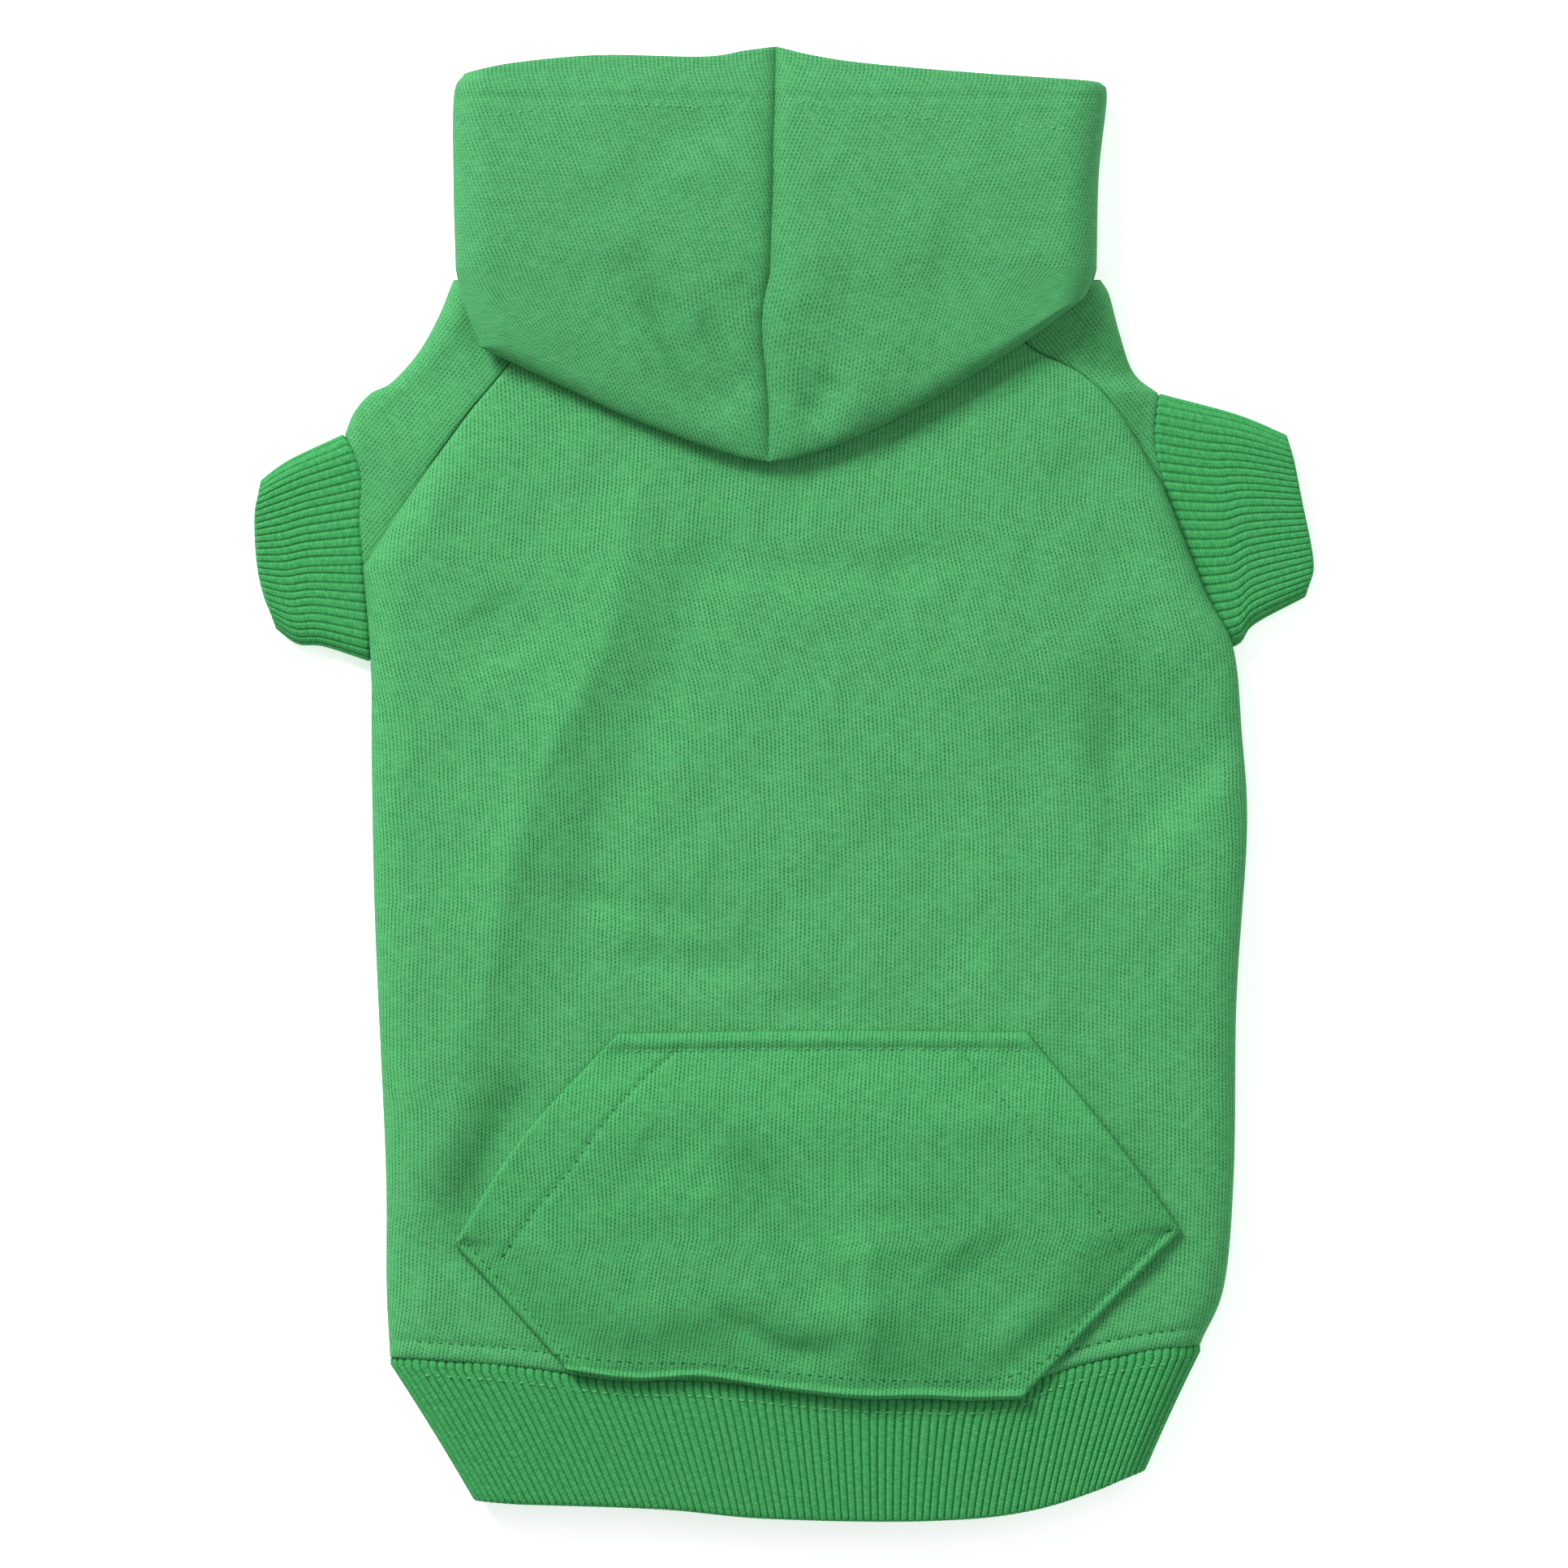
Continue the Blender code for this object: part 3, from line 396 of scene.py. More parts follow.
class Graph:
    """Adds the nodes of one material."""

    def __init__(self, name: str) -> None:
        """Start a material with its surface shader."""
        self.material = bpy.data.materials.new(name)
        self.material.use_nodes = True
        self.tree = self.material.node_tree
        self.shader = self.tree.nodes["Principled BSDF"]

    def node(self, kind: str, settings: dict, inputs: dict) -> bpy.types.Node:
        """Add a node.

        Args:
            kind: The node's type.
            settings: Its settings.
            inputs: Values or links of its sockets, by name or number.

        Returns:
            The node.
        """
        made = self.tree.nodes.new(kind)
        for name, setting in settings.items():
            setattr(made, name, setting)
        for name, given in inputs.items():
            self.feed(made.inputs[name], given)
        return made

    def feed(self, socket: bpy.types.NodeSocket, given: object) -> None:
        """Give a socket a link or a fixed value."""
        if isinstance(given, Value):
            given = given.socket
        if isinstance(given, bpy.types.NodeSocket):
            self.tree.links.new(given, socket)
        else:
            socket.default_value = given

    def number(self, kind: str, settings: dict, inputs: dict) -> Value:
        """Add a node and hold its first result as a number."""
        return Value(self, self.node(kind, settings, inputs).outputs[0])

    def mixed(self, factor: Value | float, first: object, second: object) -> bpy.types.NodeSocket:
        """Mix two colours or their sockets, by how much of the second there is."""
        made = self.node(
            "ShaderNodeMix", {"data_type": "RGBA"}, {0: factor, 6: first, 7: second}
        )
        return made.outputs[2]

    def knit(self) -> bpy.types.NodeSocket:
        """The knit's own coordinates."""
        return self.node("ShaderNodeUVMap", {"uv_map": KNIT_MAP}, {}).outputs[0]

    def split(self, place: bpy.types.NodeSocket) -> tuple[Value, Value]:
        """The first two coordinates of a place."""
        parts = self.node("ShaderNodeSeparateXYZ", {}, {0: place}).outputs
        return Value(self, parts[0]), Value(self, parts[1])

    def noise(self, place: bpy.types.NodeSocket, scale: float, detail: float) -> Value:
        """Smooth noise."""
        return self.number(
            "ShaderNodeTexNoise", {}, {"Vector": place, "Scale": scale, "Detail": detail}
        )

    def streaks(self, place: bpy.types.NodeSocket, across: float, along: float) -> Value:
        """Noise that is drawn out one way."""
        scaled = self.node("ShaderNodeMapping", {}, {"Vector": place, "Scale": (across, along, 1.0)})
        return self.noise(scaled.outputs[0], 1.0, 3.0)

    def surface(self, inputs: dict) -> bpy.types.Material:
        """Feed the surface shader and return the material."""
        for name, given in inputs.items():
            self.feed(self.shader.inputs[name], given)
        return self.material

    def cloth(self, tone: bpy.types.NodeSocket, relief: Value, look: "ClothLook",
              sheen_tint: "Colour") -> bpy.types.Material:
        """Finish a knit's material.

        Args:
            tone: The colour's socket.
            relief: The height of the knit's stitches.
            look: The numbers of the surface.
            sheen_tint: The colour of its soft fuzz.

        Returns:
            The material.
        """
        bump = self.node(
            "ShaderNodeBump", {},
            {"Strength": look.bump, "Distance": look.bump_height, "Height": relief},
        ).outputs[0]
        return self.surface({
            "Base Color": tone, "Roughness": look.roughness, "Normal": bump,
            "Specular IOR Level": look.specular, "Sheen Weight": look.sheen,
            "Sheen Roughness": look.sheen_roughness, "Sheen Tint": sheen_tint,
        })


class ClothLook(NamedTuple):
    """How a knit's surface takes the light."""

    roughness: float
    sheen: float
    bump: float
    bump_height: float = 0.0003
    specular: float = 0.15
    sheen_roughness: float = 0.5


Colour = tuple[float, float, float, float]


def shaded(colour: Colour, share: float) -> Colour:
    """A share of a colour's brightness."""
    return tuple(part * share for part in colour[:3]) + (1.0,)


@dataclass(frozen=True)
class JerseyFinish:
    """Brushed jersey: staggered columns of small loops with painted shade in their holes, and short
    slubs.
    """

    name: str
    colour: Colour
    light: Colour
    dark: Colour
    wale: float = 0.00122
    course: float = 0.00115
    lean: float = 0.30
    turn: float = 0.0
    # The hole, groove, loop strength and hole shade below set painted shade in the loop holes and down
    # each column.
    hole: float = 0.88
    groove: float = 0.24
    slub: float = 0.40
    wale_drift: float = 0.55
    course_drift: float = 0.70
    drift_scale: float = 120.0
    fine_scale: float = 900.0
    patch_scale: float = 210.0
    slub_scale: tuple[float, float] = (230.0, 1500.0)
    loop_size: tuple[float, float] = (0.25, 0.42)
    column_reach: tuple[float, float] = (0.04, 0.26)
    loop_shade_strength: float = 0.80
    patch_least: float = 0.50
    hole_shade: float = 0.30
    look: ClothLook = ClothLook(roughness=0.92, sheen=0.12, bump=0.55)

    def material(self) -> bpy.types.Material:
        """Make the material."""
        graph = Graph(self.name)
        knit = graph.knit()
        turned = graph.node(
            "ShaderNodeVectorRotate", {"rotation_type": "Z_AXIS"}, {"Vector": knit, "Angle": self.turn}
        ).outputs[0]
        u, v = graph.split(turned)
        drift = graph.noise(knit, self.drift_scale, 1.0)
        wales = u / self.wale + drift * self.wale_drift
        parity = wales.floor().modulo(2.0)
        across = wales.fraction() - 0.5
        along = (v / self.course + parity * 0.5 + drift * self.course_drift).fraction() - 0.5
        slanted = across + along * (parity * 2.0 - 1.0) * self.lean
        wide, long = self.loop_size
        away = ((slanted / wide) ** 2.0 + (along / long) ** 2.0) ** 0.5
        # Painted shade masks: a line down the middle of each column and the hole of each loop.
        column = 1.0 - across.size().stepped(*self.column_reach)
        hole = (1.0 - away.stepped(0.25, 1.0)) * self.loop_shade_strength + column * self.groove
        fine = graph.noise(knit, self.fine_scale, 2.0)
        patch = graph.noise(knit, self.patch_scale, 2.0).stepped(0.30, 0.66)
        hole = hole * (self.patch_least + patch * (1.0 - self.patch_least))
        slub = graph.streaks(turned, *self.slub_scale)
        tone = graph.mixed((slub + (fine - 0.5) * 0.5).stepped(0.30, 0.70), self.dark, self.light)
        tone = graph.mixed(self.slub, self.colour, tone)
        # Painted shade: the loop holes and column lines are mixed toward a dark share of the colour.
        tone = graph.mixed(hole * self.hole, tone, shaded(self.colour, self.hole_shade))
        relief = 1.0 - hole * 0.8 + fine * 0.35 + slub * 0.2
        return graph.cloth(tone, relief, self.look, self.light)


@dataclass(frozen=True)
class RibFinish:
    """Rib knit: fine stitches down each rib, with painted shade in the gaps between stitches and in the
    valley between ribs.
    """

    name: str
    colour: Colour
    light: Colour
    dark: Colour
    course: float = 0.00105
    # The valley and gap shade below set painted shade in the rib valleys and between the stitches.
    valley: float = 0.34
    valley_reach: tuple[float, float] = (0.30, 0.50)
    gap_reach: tuple[float, float] = (0.08, 0.34)
    middle_reach: tuple[float, float] = (0.02, 0.13)
    fleck_scale: tuple[float, float] = (1.4, 900.0)
    fleck: float = 0.55
    gap_shade: float = 0.45
    look: ClothLook = ClothLook(roughness=0.90, sheen=0.10, bump=0.50)

    def material(self) -> bpy.types.Material:
        """Make the material, which counts ribs across and metres along."""
        graph = Graph(self.name)
        knit = graph.knit()
        ribs, v = graph.split(knit)
        place = ribs.fraction() - 0.5
        valley = place.size().stepped(*self.valley_reach)
        side = (ribs * 2.0).floor().modulo(2.0)
        along = (v / self.course + side * 0.5 + place.size() * 0.8).fraction() - 0.5
        gap = 1.0 - along.size().stepped(*self.gap_reach)
        middle = 1.0 - place.size().stepped(*self.middle_reach)
        fleck = graph.streaks(knit, *self.fleck_scale)
        tone = graph.mixed(fleck.stepped(0.32, 0.68), self.dark, self.light)
        tone = graph.mixed(self.fleck, self.colour, tone)
        # Painted shade: stitch gaps and rib valleys are mixed toward this dark share of the colour.
        shade = shaded(self.colour, self.gap_shade)
        stitch = gap * (0.25 + middle * 0.35)
        tone = graph.mixed(stitch * (0.4 + fleck), tone, shade)
        tone = graph.mixed(valley * self.valley, tone, shade)
        relief = 1.0 - stitch * 0.9 + fleck * 0.4
        return graph.cloth(tone, relief, self.look, self.light)


@dataclass(frozen=True)
class ThreadFinish:
    """Sewing thread with a faint twist; a dark one stands for painted shade along sunken rows."""

    name: str
    colour: Colour
    dark: Colour
    fleck_scale: float = 1600.0

    def material(self) -> bpy.types.Material:
        """Make the material."""
        graph = Graph(self.name)
        place = graph.node("ShaderNodeTexCoord", {}, {}).outputs["Object"]
        fleck = graph.noise(place, self.fleck_scale, 2.0)
        tone = graph.mixed(fleck.stepped(0.35, 0.65), self.dark, self.colour)
        return graph.surface({"Base Color": tone, "Roughness": 0.8, "Specular IOR Level": 0.2})


@dataclass(frozen=True)
class FloorFinish:
    """A plain pale sweep of paper."""

    name: str = "pale_paper"
    colour: Colour = (0.93, 0.93, 0.935, 1.0)
    glow: float = 0.55

    def material(self) -> bpy.types.Material:
        """Make the material."""
        graph = Graph(self.name)
        return graph.surface({
            "Base Color": self.colour, "Roughness": 0.9, "Specular IOR Level": 0.1,
            "Emission Color": (1.0, 1.0, 1.0, 1.0), "Emission Strength": self.glow,
        })


class Dye(Enum):
    """The finishes of the cloth, by panel."""

    FLEECE = JerseyFinish(
        "fleece_jersey", colour=(0.070, 0.362, 0.119, 1.0), light=(0.118, 0.452, 0.178, 1.0),
        dark=(0.042, 0.280, 0.077, 1.0), groove=0.42,
    )
    # SLEEVE and HOOD are darker copies of the fleece colour: painted shade that dims those panels.
    SLEEVE = JerseyFinish(
        "sleeve_jersey", colour=(0.066, 0.336, 0.111, 1.0), light=(0.110, 0.416, 0.164, 1.0),
        dark=(0.040, 0.260, 0.072, 1.0), turn=0.7,
    )
    HOOD = JerseyFinish(
        "hood_jersey", colour=(0.062, 0.308, 0.106, 1.0), light=(0.103, 0.385, 0.157, 1.0),
        dark=(0.038, 0.238, 0.070, 1.0), turn=-0.35,
    )
    POCKET = JerseyFinish(
        "pocket_jersey", colour=(0.061, 0.350, 0.108, 1.0), light=(0.104, 0.440, 0.165, 1.0),
        dark=(0.037, 0.268, 0.071, 1.0), groove=0.46,
    )
    RIB = RibFinish(
        "rib_knit", colour=(0.042, 0.320, 0.085, 1.0), light=(0.080, 0.410, 0.140, 1.0),
        dark=(0.026, 0.240, 0.058, 1.0),
    )
    # The band carries stronger painted shade in its rib valleys.
    BAND = RibFinish(
        "band_rib", colour=(0.045, 0.338, 0.090, 1.0), light=(0.084, 0.430, 0.147, 1.0),
        dark=(0.027, 0.250, 0.060, 1.0), valley=0.62,
    )


class Slot(Enum):
    """The record's material slots."""

    BODY = "body_fleece"
    RIB = "rib_knit"
    HOOD = "hood_fleece"
    POCKET = "pocket_fleece"


class Dresser:
    """Keeps one material for each finish."""

    def __init__(self) -> None:
        """Start with no materials."""
        self._made: dict[str, bpy.types.Material] = {}

    def dress(self, piece: bpy.types.Object, finish) -> None:
        """Give a piece the material of a finish."""
        if finish.name not in self._made:
            self._made[finish.name] = finish.material()
        piece.data.materials.clear()
        piece.data.materials.append(self._made[finish.name])


class ClothMesh:
    """Collects grids of points and turns them into one walled sheet of cloth."""

    def __init__(self, name: str) -> None:
        """Start an empty sheet.

        Args:
            name: The piece's name.
        """
        self.name = name
        self.points: list[Array] = []
        self.knit: list[Array] = []
        self.faces: list[Array] = []
        self.count = 0

    def add(self, points: Array, knit: Array) -> None:
        """Add a grid of quads.

        Args:
            points: Points by row and column.
            knit: The knit's coordinates by row and column.
        """
        rows, columns = points.shape[:2]
        numbers = self.count + np.arange(rows * columns).reshape(rows, columns)
        quads = np.stack(
            (numbers[:-1, :-1], numbers[:-1, 1:], numbers[1:, 1:], numbers[1:, :-1]), axis=-1
        )
        self.points.append(points.reshape(-1, 3))
        self.knit.append(knit.reshape(-1, 2))
        self.faces.append(quads.reshape(-1, 4))
        self.count += rows * columns

    def add_walled(self, outer: Array, inner: Array, knit: Array) -> None:
        """Add a tube's outer and inner grids and the rims between them.

        Args:
            outer: Outer points by ring and column.
            inner: Inner points by ring and column.
            knit: The knit's coordinates by ring and column.
        """
        self.add(outer, knit)
        self.add(inner, knit)
        for ring in (0, -1):
            self.add(np.stack((outer[ring], inner[ring])), np.stack((knit[ring], knit[ring])))

    def made(self, wall: float, up: bool = True) -> bpy.types.Object:
        """Join the grids, turn their faces outward and give them a wall.

        Args:
            wall: The cloth's thickness, which goes inward; 0 where the grids are walled already.
            up: Whether the outer side of its highest part faces up, or of its lowest part down.

        Returns:
            The finished object.
        """
        mesh = bpy.data.meshes.new(self.name)
        faces = np.concatenate(self.faces)
        knit = np.concatenate(self.knit)
        mesh.from_pydata(np.concatenate(self.points).tolist(), [], faces.tolist())
        layer = mesh.uv_layers.new(name=KNIT_MAP)
        layer.data.foreach_set("uv", knit[faces.reshape(-1)].reshape(-1))
        shell = bmesh.new()
        shell.from_mesh(mesh)
        bmesh.ops.remove_doubles(shell, verts=shell.verts, dist=1e-5)
        bmesh.ops.dissolve_degenerate(shell, edges=shell.edges, dist=1e-6)
        bmesh.ops.recalc_face_normals(shell, faces=shell.faces)
        shell.faces.ensure_lookup_table()
        heights = np.array([face.calc_center_median().z for face in shell.faces])
        limit = np.percentile(heights, 85 if up else 15)
        sample = [face for face, z in zip(shell.faces, heights) if (z >= limit) == up or z == limit]
        rise = sum(face.normal.z * face.calc_area() for face in sample)
        if (rise > 0) != up:
            bmesh.ops.reverse_faces(shell, faces=shell.faces)
        shell.to_mesh(mesh)
        shell.free()
        mesh.shade_smooth()
        piece = linked(self.name, mesh)
        if wall:
            thicken = piece.modifiers.new("Wall", "SOLIDIFY")
            thicken.thickness = wall
            thicken.offset = -1.0
            apply_modifiers(piece)
        return piece


def apply_modifiers(piece: bpy.types.Object) -> None:
    """Apply all of a piece's modifiers."""
    bpy.ops.object.select_all(action="DESELECT")
    piece.select_set(True)
    bpy.context.view_layer.objects.active = piece
    for modifier in list(piece.modifiers):
        bpy.ops.object.modifier_apply(modifier=modifier.name)
    piece.select_set(False)


@dataclass(frozen=True)
class Pattern:
    """The cut sizes of the garment as it lies, its walls and its heights."""

    chest_width: float = 0.2594
    back_length: float = 0.3180
    neck_width: float = 0.1900
    hood_rise: float = 0.0684
    hood_drop: float = 0.0545
    band_depth: float = 0.0403
    cuff_length: float = 0.0400
    pocket_width: float = 0.2150
    pocket_height: float = 0.1060
    fleece_wall: float = 0.0020
    rib_wall: float = 0.0024
    seam_gap: float = -0.0006
    cuff_gap: float = 0.0008
    cuff_tuck: float = 0.0020
    under_gap: float = 0.0012
    layer_gap: float = 0.0004
    body_height: float = 0.0180
    side_level: float = 0.0109
    under_level: float = 0.0096
    neck_height: float = 0.0170
    cuff_height: float = 0.0096
    band_height: float = 0.0172
    band_edge_height: float = 0.0150
    hood_loft: float = 0.0100
    pocket_loft: float = 0.0052
    body_roll: float = 0.0130
    sleeve_roll: float = 0.0080
    hood_roll: float = 0.0110
    pocket_ramp: float = 0.0290
    underarm_strip: float = 0.0034
    band_shoulder: float = 0.0030
    strip_fade: float = 0.40
    cheek_fold_share: float = 0.77
    side_share: float = 12 / 18
    hem_stitch: float = 0.0050
    band_stitch: float = 0.0048
    hem_origin: tuple[float, float] = (0.0077, -0.1688)
    nape_shift: float = -0.0096
    pocket_shift: tuple[float, float] = (0.0025, -0.0110)
    shift: tuple[float, float] = (0.0, 0.0)

    def hem(self) -> Array:
        """The middle of the hem line in the frame."""
        return np.array(self.hem_origin) + self.shift

    def nape(self) -> Array:
        """The middle of the nape in the frame."""
        return self.hem() + (self.nape_shift, self.back_length)

    def body_point(self, mark: Mark) -> Array:
        """A mark of the body in plan."""
        return self.hem() + (mark.across * self.chest_width, mark.along * self.back_length)

    def band_point(self, mark: Mark) -> Array:
        """A mark of the rib band in plan."""
        return self.hem() + (mark.across * self.chest_width, mark.along * self.band_depth)

    def hood_point(self, mark: Mark) -> Array:
        """A mark of the hood in plan."""
        run = self.hood_rise if mark.along > 0 else self.hood_drop
        return self.nape() + (mark.across * self.neck_width, mark.along * run)

    def pocket_point(self, mark: Mark) -> Array:
        """A mark of the pocket in plan."""
        return self.hem() + self.pocket_shift + (
            mark.across * self.pocket_width, mark.along * self.pocket_height
        )

    def body(self, marks: Sequence[Mark]) -> PlanCurve:
        """A curve through marks of the body."""
        return PlanCurve([self.body_point(mark) for mark in marks])

    def band(self, marks: Sequence[Mark]) -> PlanCurve:
        """A curve through marks of the rib band."""
        return PlanCurve([self.band_point(mark) for mark in marks])

    def hood(self, marks: Sequence[Mark]) -> PlanCurve:
        """A curve through marks of the hood."""
        return PlanCurve([self.hood_point(mark) for mark in marks])

    def pocket(self, marks: Sequence[Mark]) -> PlanCurve:
        """A curve through marks of the pocket."""
        return PlanCurve([self.pocket_point(mark) for mark in marks])

    def cuff(self, marks: Sequence[Mark], seam: PlanCurve, outward: int) -> PlanCurve:
        """A curve through marks of a cuff, measured from its seam."""
        shoulder = seam.at(0.0)
        width = seam.at(1.0)[1] - shoulder[1]
        return PlanCurve([
            shoulder + (outward * mark.across * self.cuff_length, mark.along * width) for mark in marks
        ])

    def hood_along(self, points: Array) -> Array:
        """How far plan points lie along the hood, as a mark's share."""
        along = points[..., 1] - self.nape()[1]
        return np.where(along > 0, along / self.hood_rise, along / self.hood_drop)


LEFT_SIDE = drawn(
    (-0.478, -0.002), (-0.482, 0.064), (-0.483, 0.177), (-0.495, 0.396), (-0.499, 0.550),
    (-0.500, 0.644), (-0.509, 0.731),
)
RIGHT_SIDE = drawn(
    (0.447, 0.010), (0.474, 0.064), (0.485, 0.170), (0.488, 0.330), (0.500, 0.487), (0.494, 0.577),
    (0.484, 0.657), (0.451, 0.712), (0.407, 0.802),
)
LEFT_RAGLAN = drawn(
    (-0.509, 0.731), (-0.461, 0.791), (-0.388, 0.873), (-0.342, 0.919), (-0.280, 0.995),
)
RIGHT_RAGLAN = drawn((0.407, 0.802), (0.353, 0.875), (0.308, 0.912), (0.245, 0.940), (0.206, 0.995))
HEM_SEAM = drawn(
    (-0.478, -0.002), (-0.343, -0.010), (-0.275, -0.017), (-0.197, -0.023), (-0.123, -0.024),
    (-0.039, -0.031), (0.053, -0.038), (0.183, -0.040), (0.238, -0.034), (0.275, -0.018),
    (0.358, 0.000), (0.447, 0.010),
)
NAPE = drawn((-0.280, 0.995), (-0.037, 1.000), (0.206, 0.995))
LEFT_NECKLINE = drawn((-0.499, 0.040), (-0.345, 0.025), (-0.170, -0.070), (-0.020, -0.235))
RIGHT_NECKLINE = drawn((0.498, 0.040), (0.310, 0.025), (0.160, -0.070), (0.015, -0.235))
RAGLAN_BACK_LEVELS = (
    Level(0.0, 0.61), Level(0.2, 0.70), Level(0.4, 0.86), Level(0.7, 0.94), Level(1.0, 0.97),
)
RAGLAN_SLEEVE_LEVELS = (
    Level(0.0, 0.57), Level(0.2, 0.64), Level(0.4, 0.84), Level(0.7, 0.95), Level(1.0, 1.0),
)
SEAM_EDGE = (0.0, 0.0003, 0.0007, 0.0012, 0.0018, 0.0026, 0.0035, 0.0043, 0.0050, 0.0057, 0.0065, 0.0077)
ROLL_EDGE = (0.0, 0.00025, 0.0008, 0.0017, 0.0029, 0.0043, 0.0060, 0.0080)
CREASE_EDGE = (0.0, 0.0003, 0.0008, 0.0014, 0.0022, 0.0032)
POCKET_LOW_EDGE = (0.0, 0.006, 0.012, 0.018, 0.024, 0.031, 0.038, 0.046, 0.055)
POCKET_HEAD_EDGE = (0.0, 0.006, 0.015, 0.028, 0.045)
TUBE_EDGE = (0.0, 0.01, 0.03)


def pulled_in(distance: Array, depth: float, reach: float) -> Array:
    """How far a seam pulls the cloth down at a distance from it."""
    return depth * (1 - rolled(distance, reach))


@dataclass
class Panel:
    """What every panel needs: the garment's pattern and a dresser for its finish."""

    pattern: Pattern
    dresser: Dresser

    def finished(self, cloth: ClothMesh, wall: float, dye: Dye, slot: Slot, node: str,
                 up: bool = True) -> bpy.types.Object:
        """Turn a cloth mesh into a dressed piece that stands for its solid.

        Args:
            cloth: The collected grids.
            wall: The cloth's thickness.
            dye: The finish.
            slot: The record's material slot; not used.
            node: The solid that the piece stands for.
            up: Whether the first grid's outer side faces up.

        Returns:
            The piece.
        """
        piece = cloth.made(wall, up)
        self.dresser.dress(piece, dye.value)
        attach(piece, "root")
        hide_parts(node)
        triangles = sum(len(face.vertices) - 2 for face in piece.data.polygons)
        area = sum(face.area for face in piece.data.polygons) / 2
        logger.info("%s: %d triangles, %.4f square metres", piece.name, triangles, area)
        return piece


@dataclass
class BackPanel(Panel):
    """The back, from the hem seam to the nape, rolled down to the side seams."""

    side_steps: int = 130
    slope_steps: int = 62
    columns: int = 128
    seam_depth: float = 0.0010
    seam_reach: float = 0.0020
    stitch_depth: float = 0.0005
    stitch_reach: float = 0.0011
    seed: int = 3
    unevenness: float = 0.00024
    cut: tuple[float, float] = (0.285, 0.345)
    cut_area: float = 0.0860
    folds: tuple[Fold, ...] = (
        Fold(drawn((-0.180, 0.860), (-0.197, 0.780), (-0.228, 0.674), (-0.273, 0.590),
                   (-0.322, 0.507), (-0.360, 0.372), (-0.412, 0.194)), 0.0120, -0.0036, True),
        Fold(drawn((-0.110, 0.800), (-0.145, 0.674), (-0.195, 0.570), (-0.245, 0.460),
                   (-0.290, 0.340)), 0.0110, 0.0018),
        Fold(drawn((-0.136, 0.736), (0.043, 0.726), (0.196, 0.747)), 0.0060, 0.0011),
        Fold(drawn((0.300, 0.560), (0.370, 0.560), (0.460, 0.500)), 0.0230, 0.0058),
        Fold(drawn((-0.375, 0.705), (-0.325, 0.640)), 0.0120, 0.0022),
        Fold(drawn((-0.300, 0.430), (-0.200, 0.415), (-0.110, 0.402)), 0.0050, 0.0012),
        Fold(drawn((-0.230, 0.372), (-0.140, 0.362), (-0.050, 0.361)), 0.0060, 0.0016),
        Fold(drawn((-0.060, 0.325), (0.060, 0.319)), 0.0060, 0.0011),
        Fold(drawn((-0.312, 0.270), (-0.358, 0.190), (-0.410, 0.100)), 0.0090, 0.0040),
        Fold(drawn((0.300, 0.860), (0.345, 0.780), (0.380, 0.700)), 0.0100, 0.0020),
        Fold(drawn((0.090, 0.560), (0.150, 0.430), (0.170, 0.330)), 0.0120, 0.0014),
    )

    def build(self) -> bpy.types.Object:
        """Make the panel.

        Returns:
            The dressed piece.
        """
        size = self.pattern
        half = size.seam_gap / 2
        sides = (size.body(LEFT_SIDE), size.body(RIGHT_SIDE))
        slopes = (size.body(LEFT_RAGLAN).moved(half), size.body(RIGHT_RAGLAN).moved(-half))
        base = size.body(HEM_SEAM).moved(0.0, half)
        head = size.body(NAPE).moved(0.0, -half)
        run = sides[0].length
        low = spread(run, SEAM_EDGE, (0.0,), self.side_steps)[0]
        slope_run = slopes[0].length
        high = spread(slope_run, (0.0,), SEAM_EDGE, self.slope_steps)[0][1:]
        edges = [
            np.vstack((side.at(low / run), slope.at(high / slope_run)))
            for side, slope in zip(sides, slopes)
        ]
        edges[0][0] = base.at(0.0)
        edges[1][0] = base.at(1.0)
        shares = np.concatenate((
            low / run * size.side_share,
            size.side_share + high / slope_run * (1 - size.side_share),
        ))
        plan, *from_sides = ruled(edges, (base, head), shares, (ROLL_EDGE, ROLL_EDGE), self.columns)
        from_side = np.minimum(*from_sides)
        from_hem = np.concatenate((low, run + high))[:, None]
        sloping = np.concatenate((low * 0, high / slope_run))[:, None]
        lift = rolled(from_side, size.body_roll)
        edge = np.where(
            sloping > 0, size.body_height * level(RAGLAN_BACK_LEVELS, sloping), size.side_level
        )
        relief = Relief(self.folds, size.body_point, self.seed, self.unevenness)
        top = size.body_height - relief.drop(plan)
        height = edge + (top - edge) * lift
        height -= pulled_in(from_hem, self.seam_depth, self.seam_reach) * lift
        height -= np.where(sloping > 0, pulled_in(from_side, self.seam_depth, self.seam_reach), 0.0)
        height -= self.stitch_depth * bell(from_hem - size.hem_stitch, self.stitch_reach) * lift
        points = raised(plan, height)
        cloth = ClothMesh("dressed_back")
        cloth.add(points, knit_grid(points))
        piece = self.finished(cloth, size.fleece_wall, Dye.FLEECE, Slot.BODY, "back_panel")
        return piece


@dataclass
class Armhole:
    """The line where a sleeve meets the body: the raglan seam and the stretch hidden below it."""

    pattern: Pattern
    raglan: tuple[Mark, ...]
    underarm: Mark
    inward: int

    def slope(self, shift: float, count: int) -> Array:
        """Points down the raglan seam, set in under the side where it nears the underarm."""
        size = self.pattern
        shares = np.linspace(0.0, 1.0, count)
        reach = self.inward * size.underarm_strip * np.clip(1 - shares / size.strip_fade, 0.0, None)
        points = size.body(self.raglan).moved(shift).at(shares)
        points[:, 0] += reach
        return points

    def below(self) -> Array:
        """The underarm's end of the line."""
        return self.pattern.body_point(self.underarm)


LEFT_UNDERARM = Mark(-0.489, 0.644)
RIGHT_UNDERARM = Mark(0.418, 0.648)


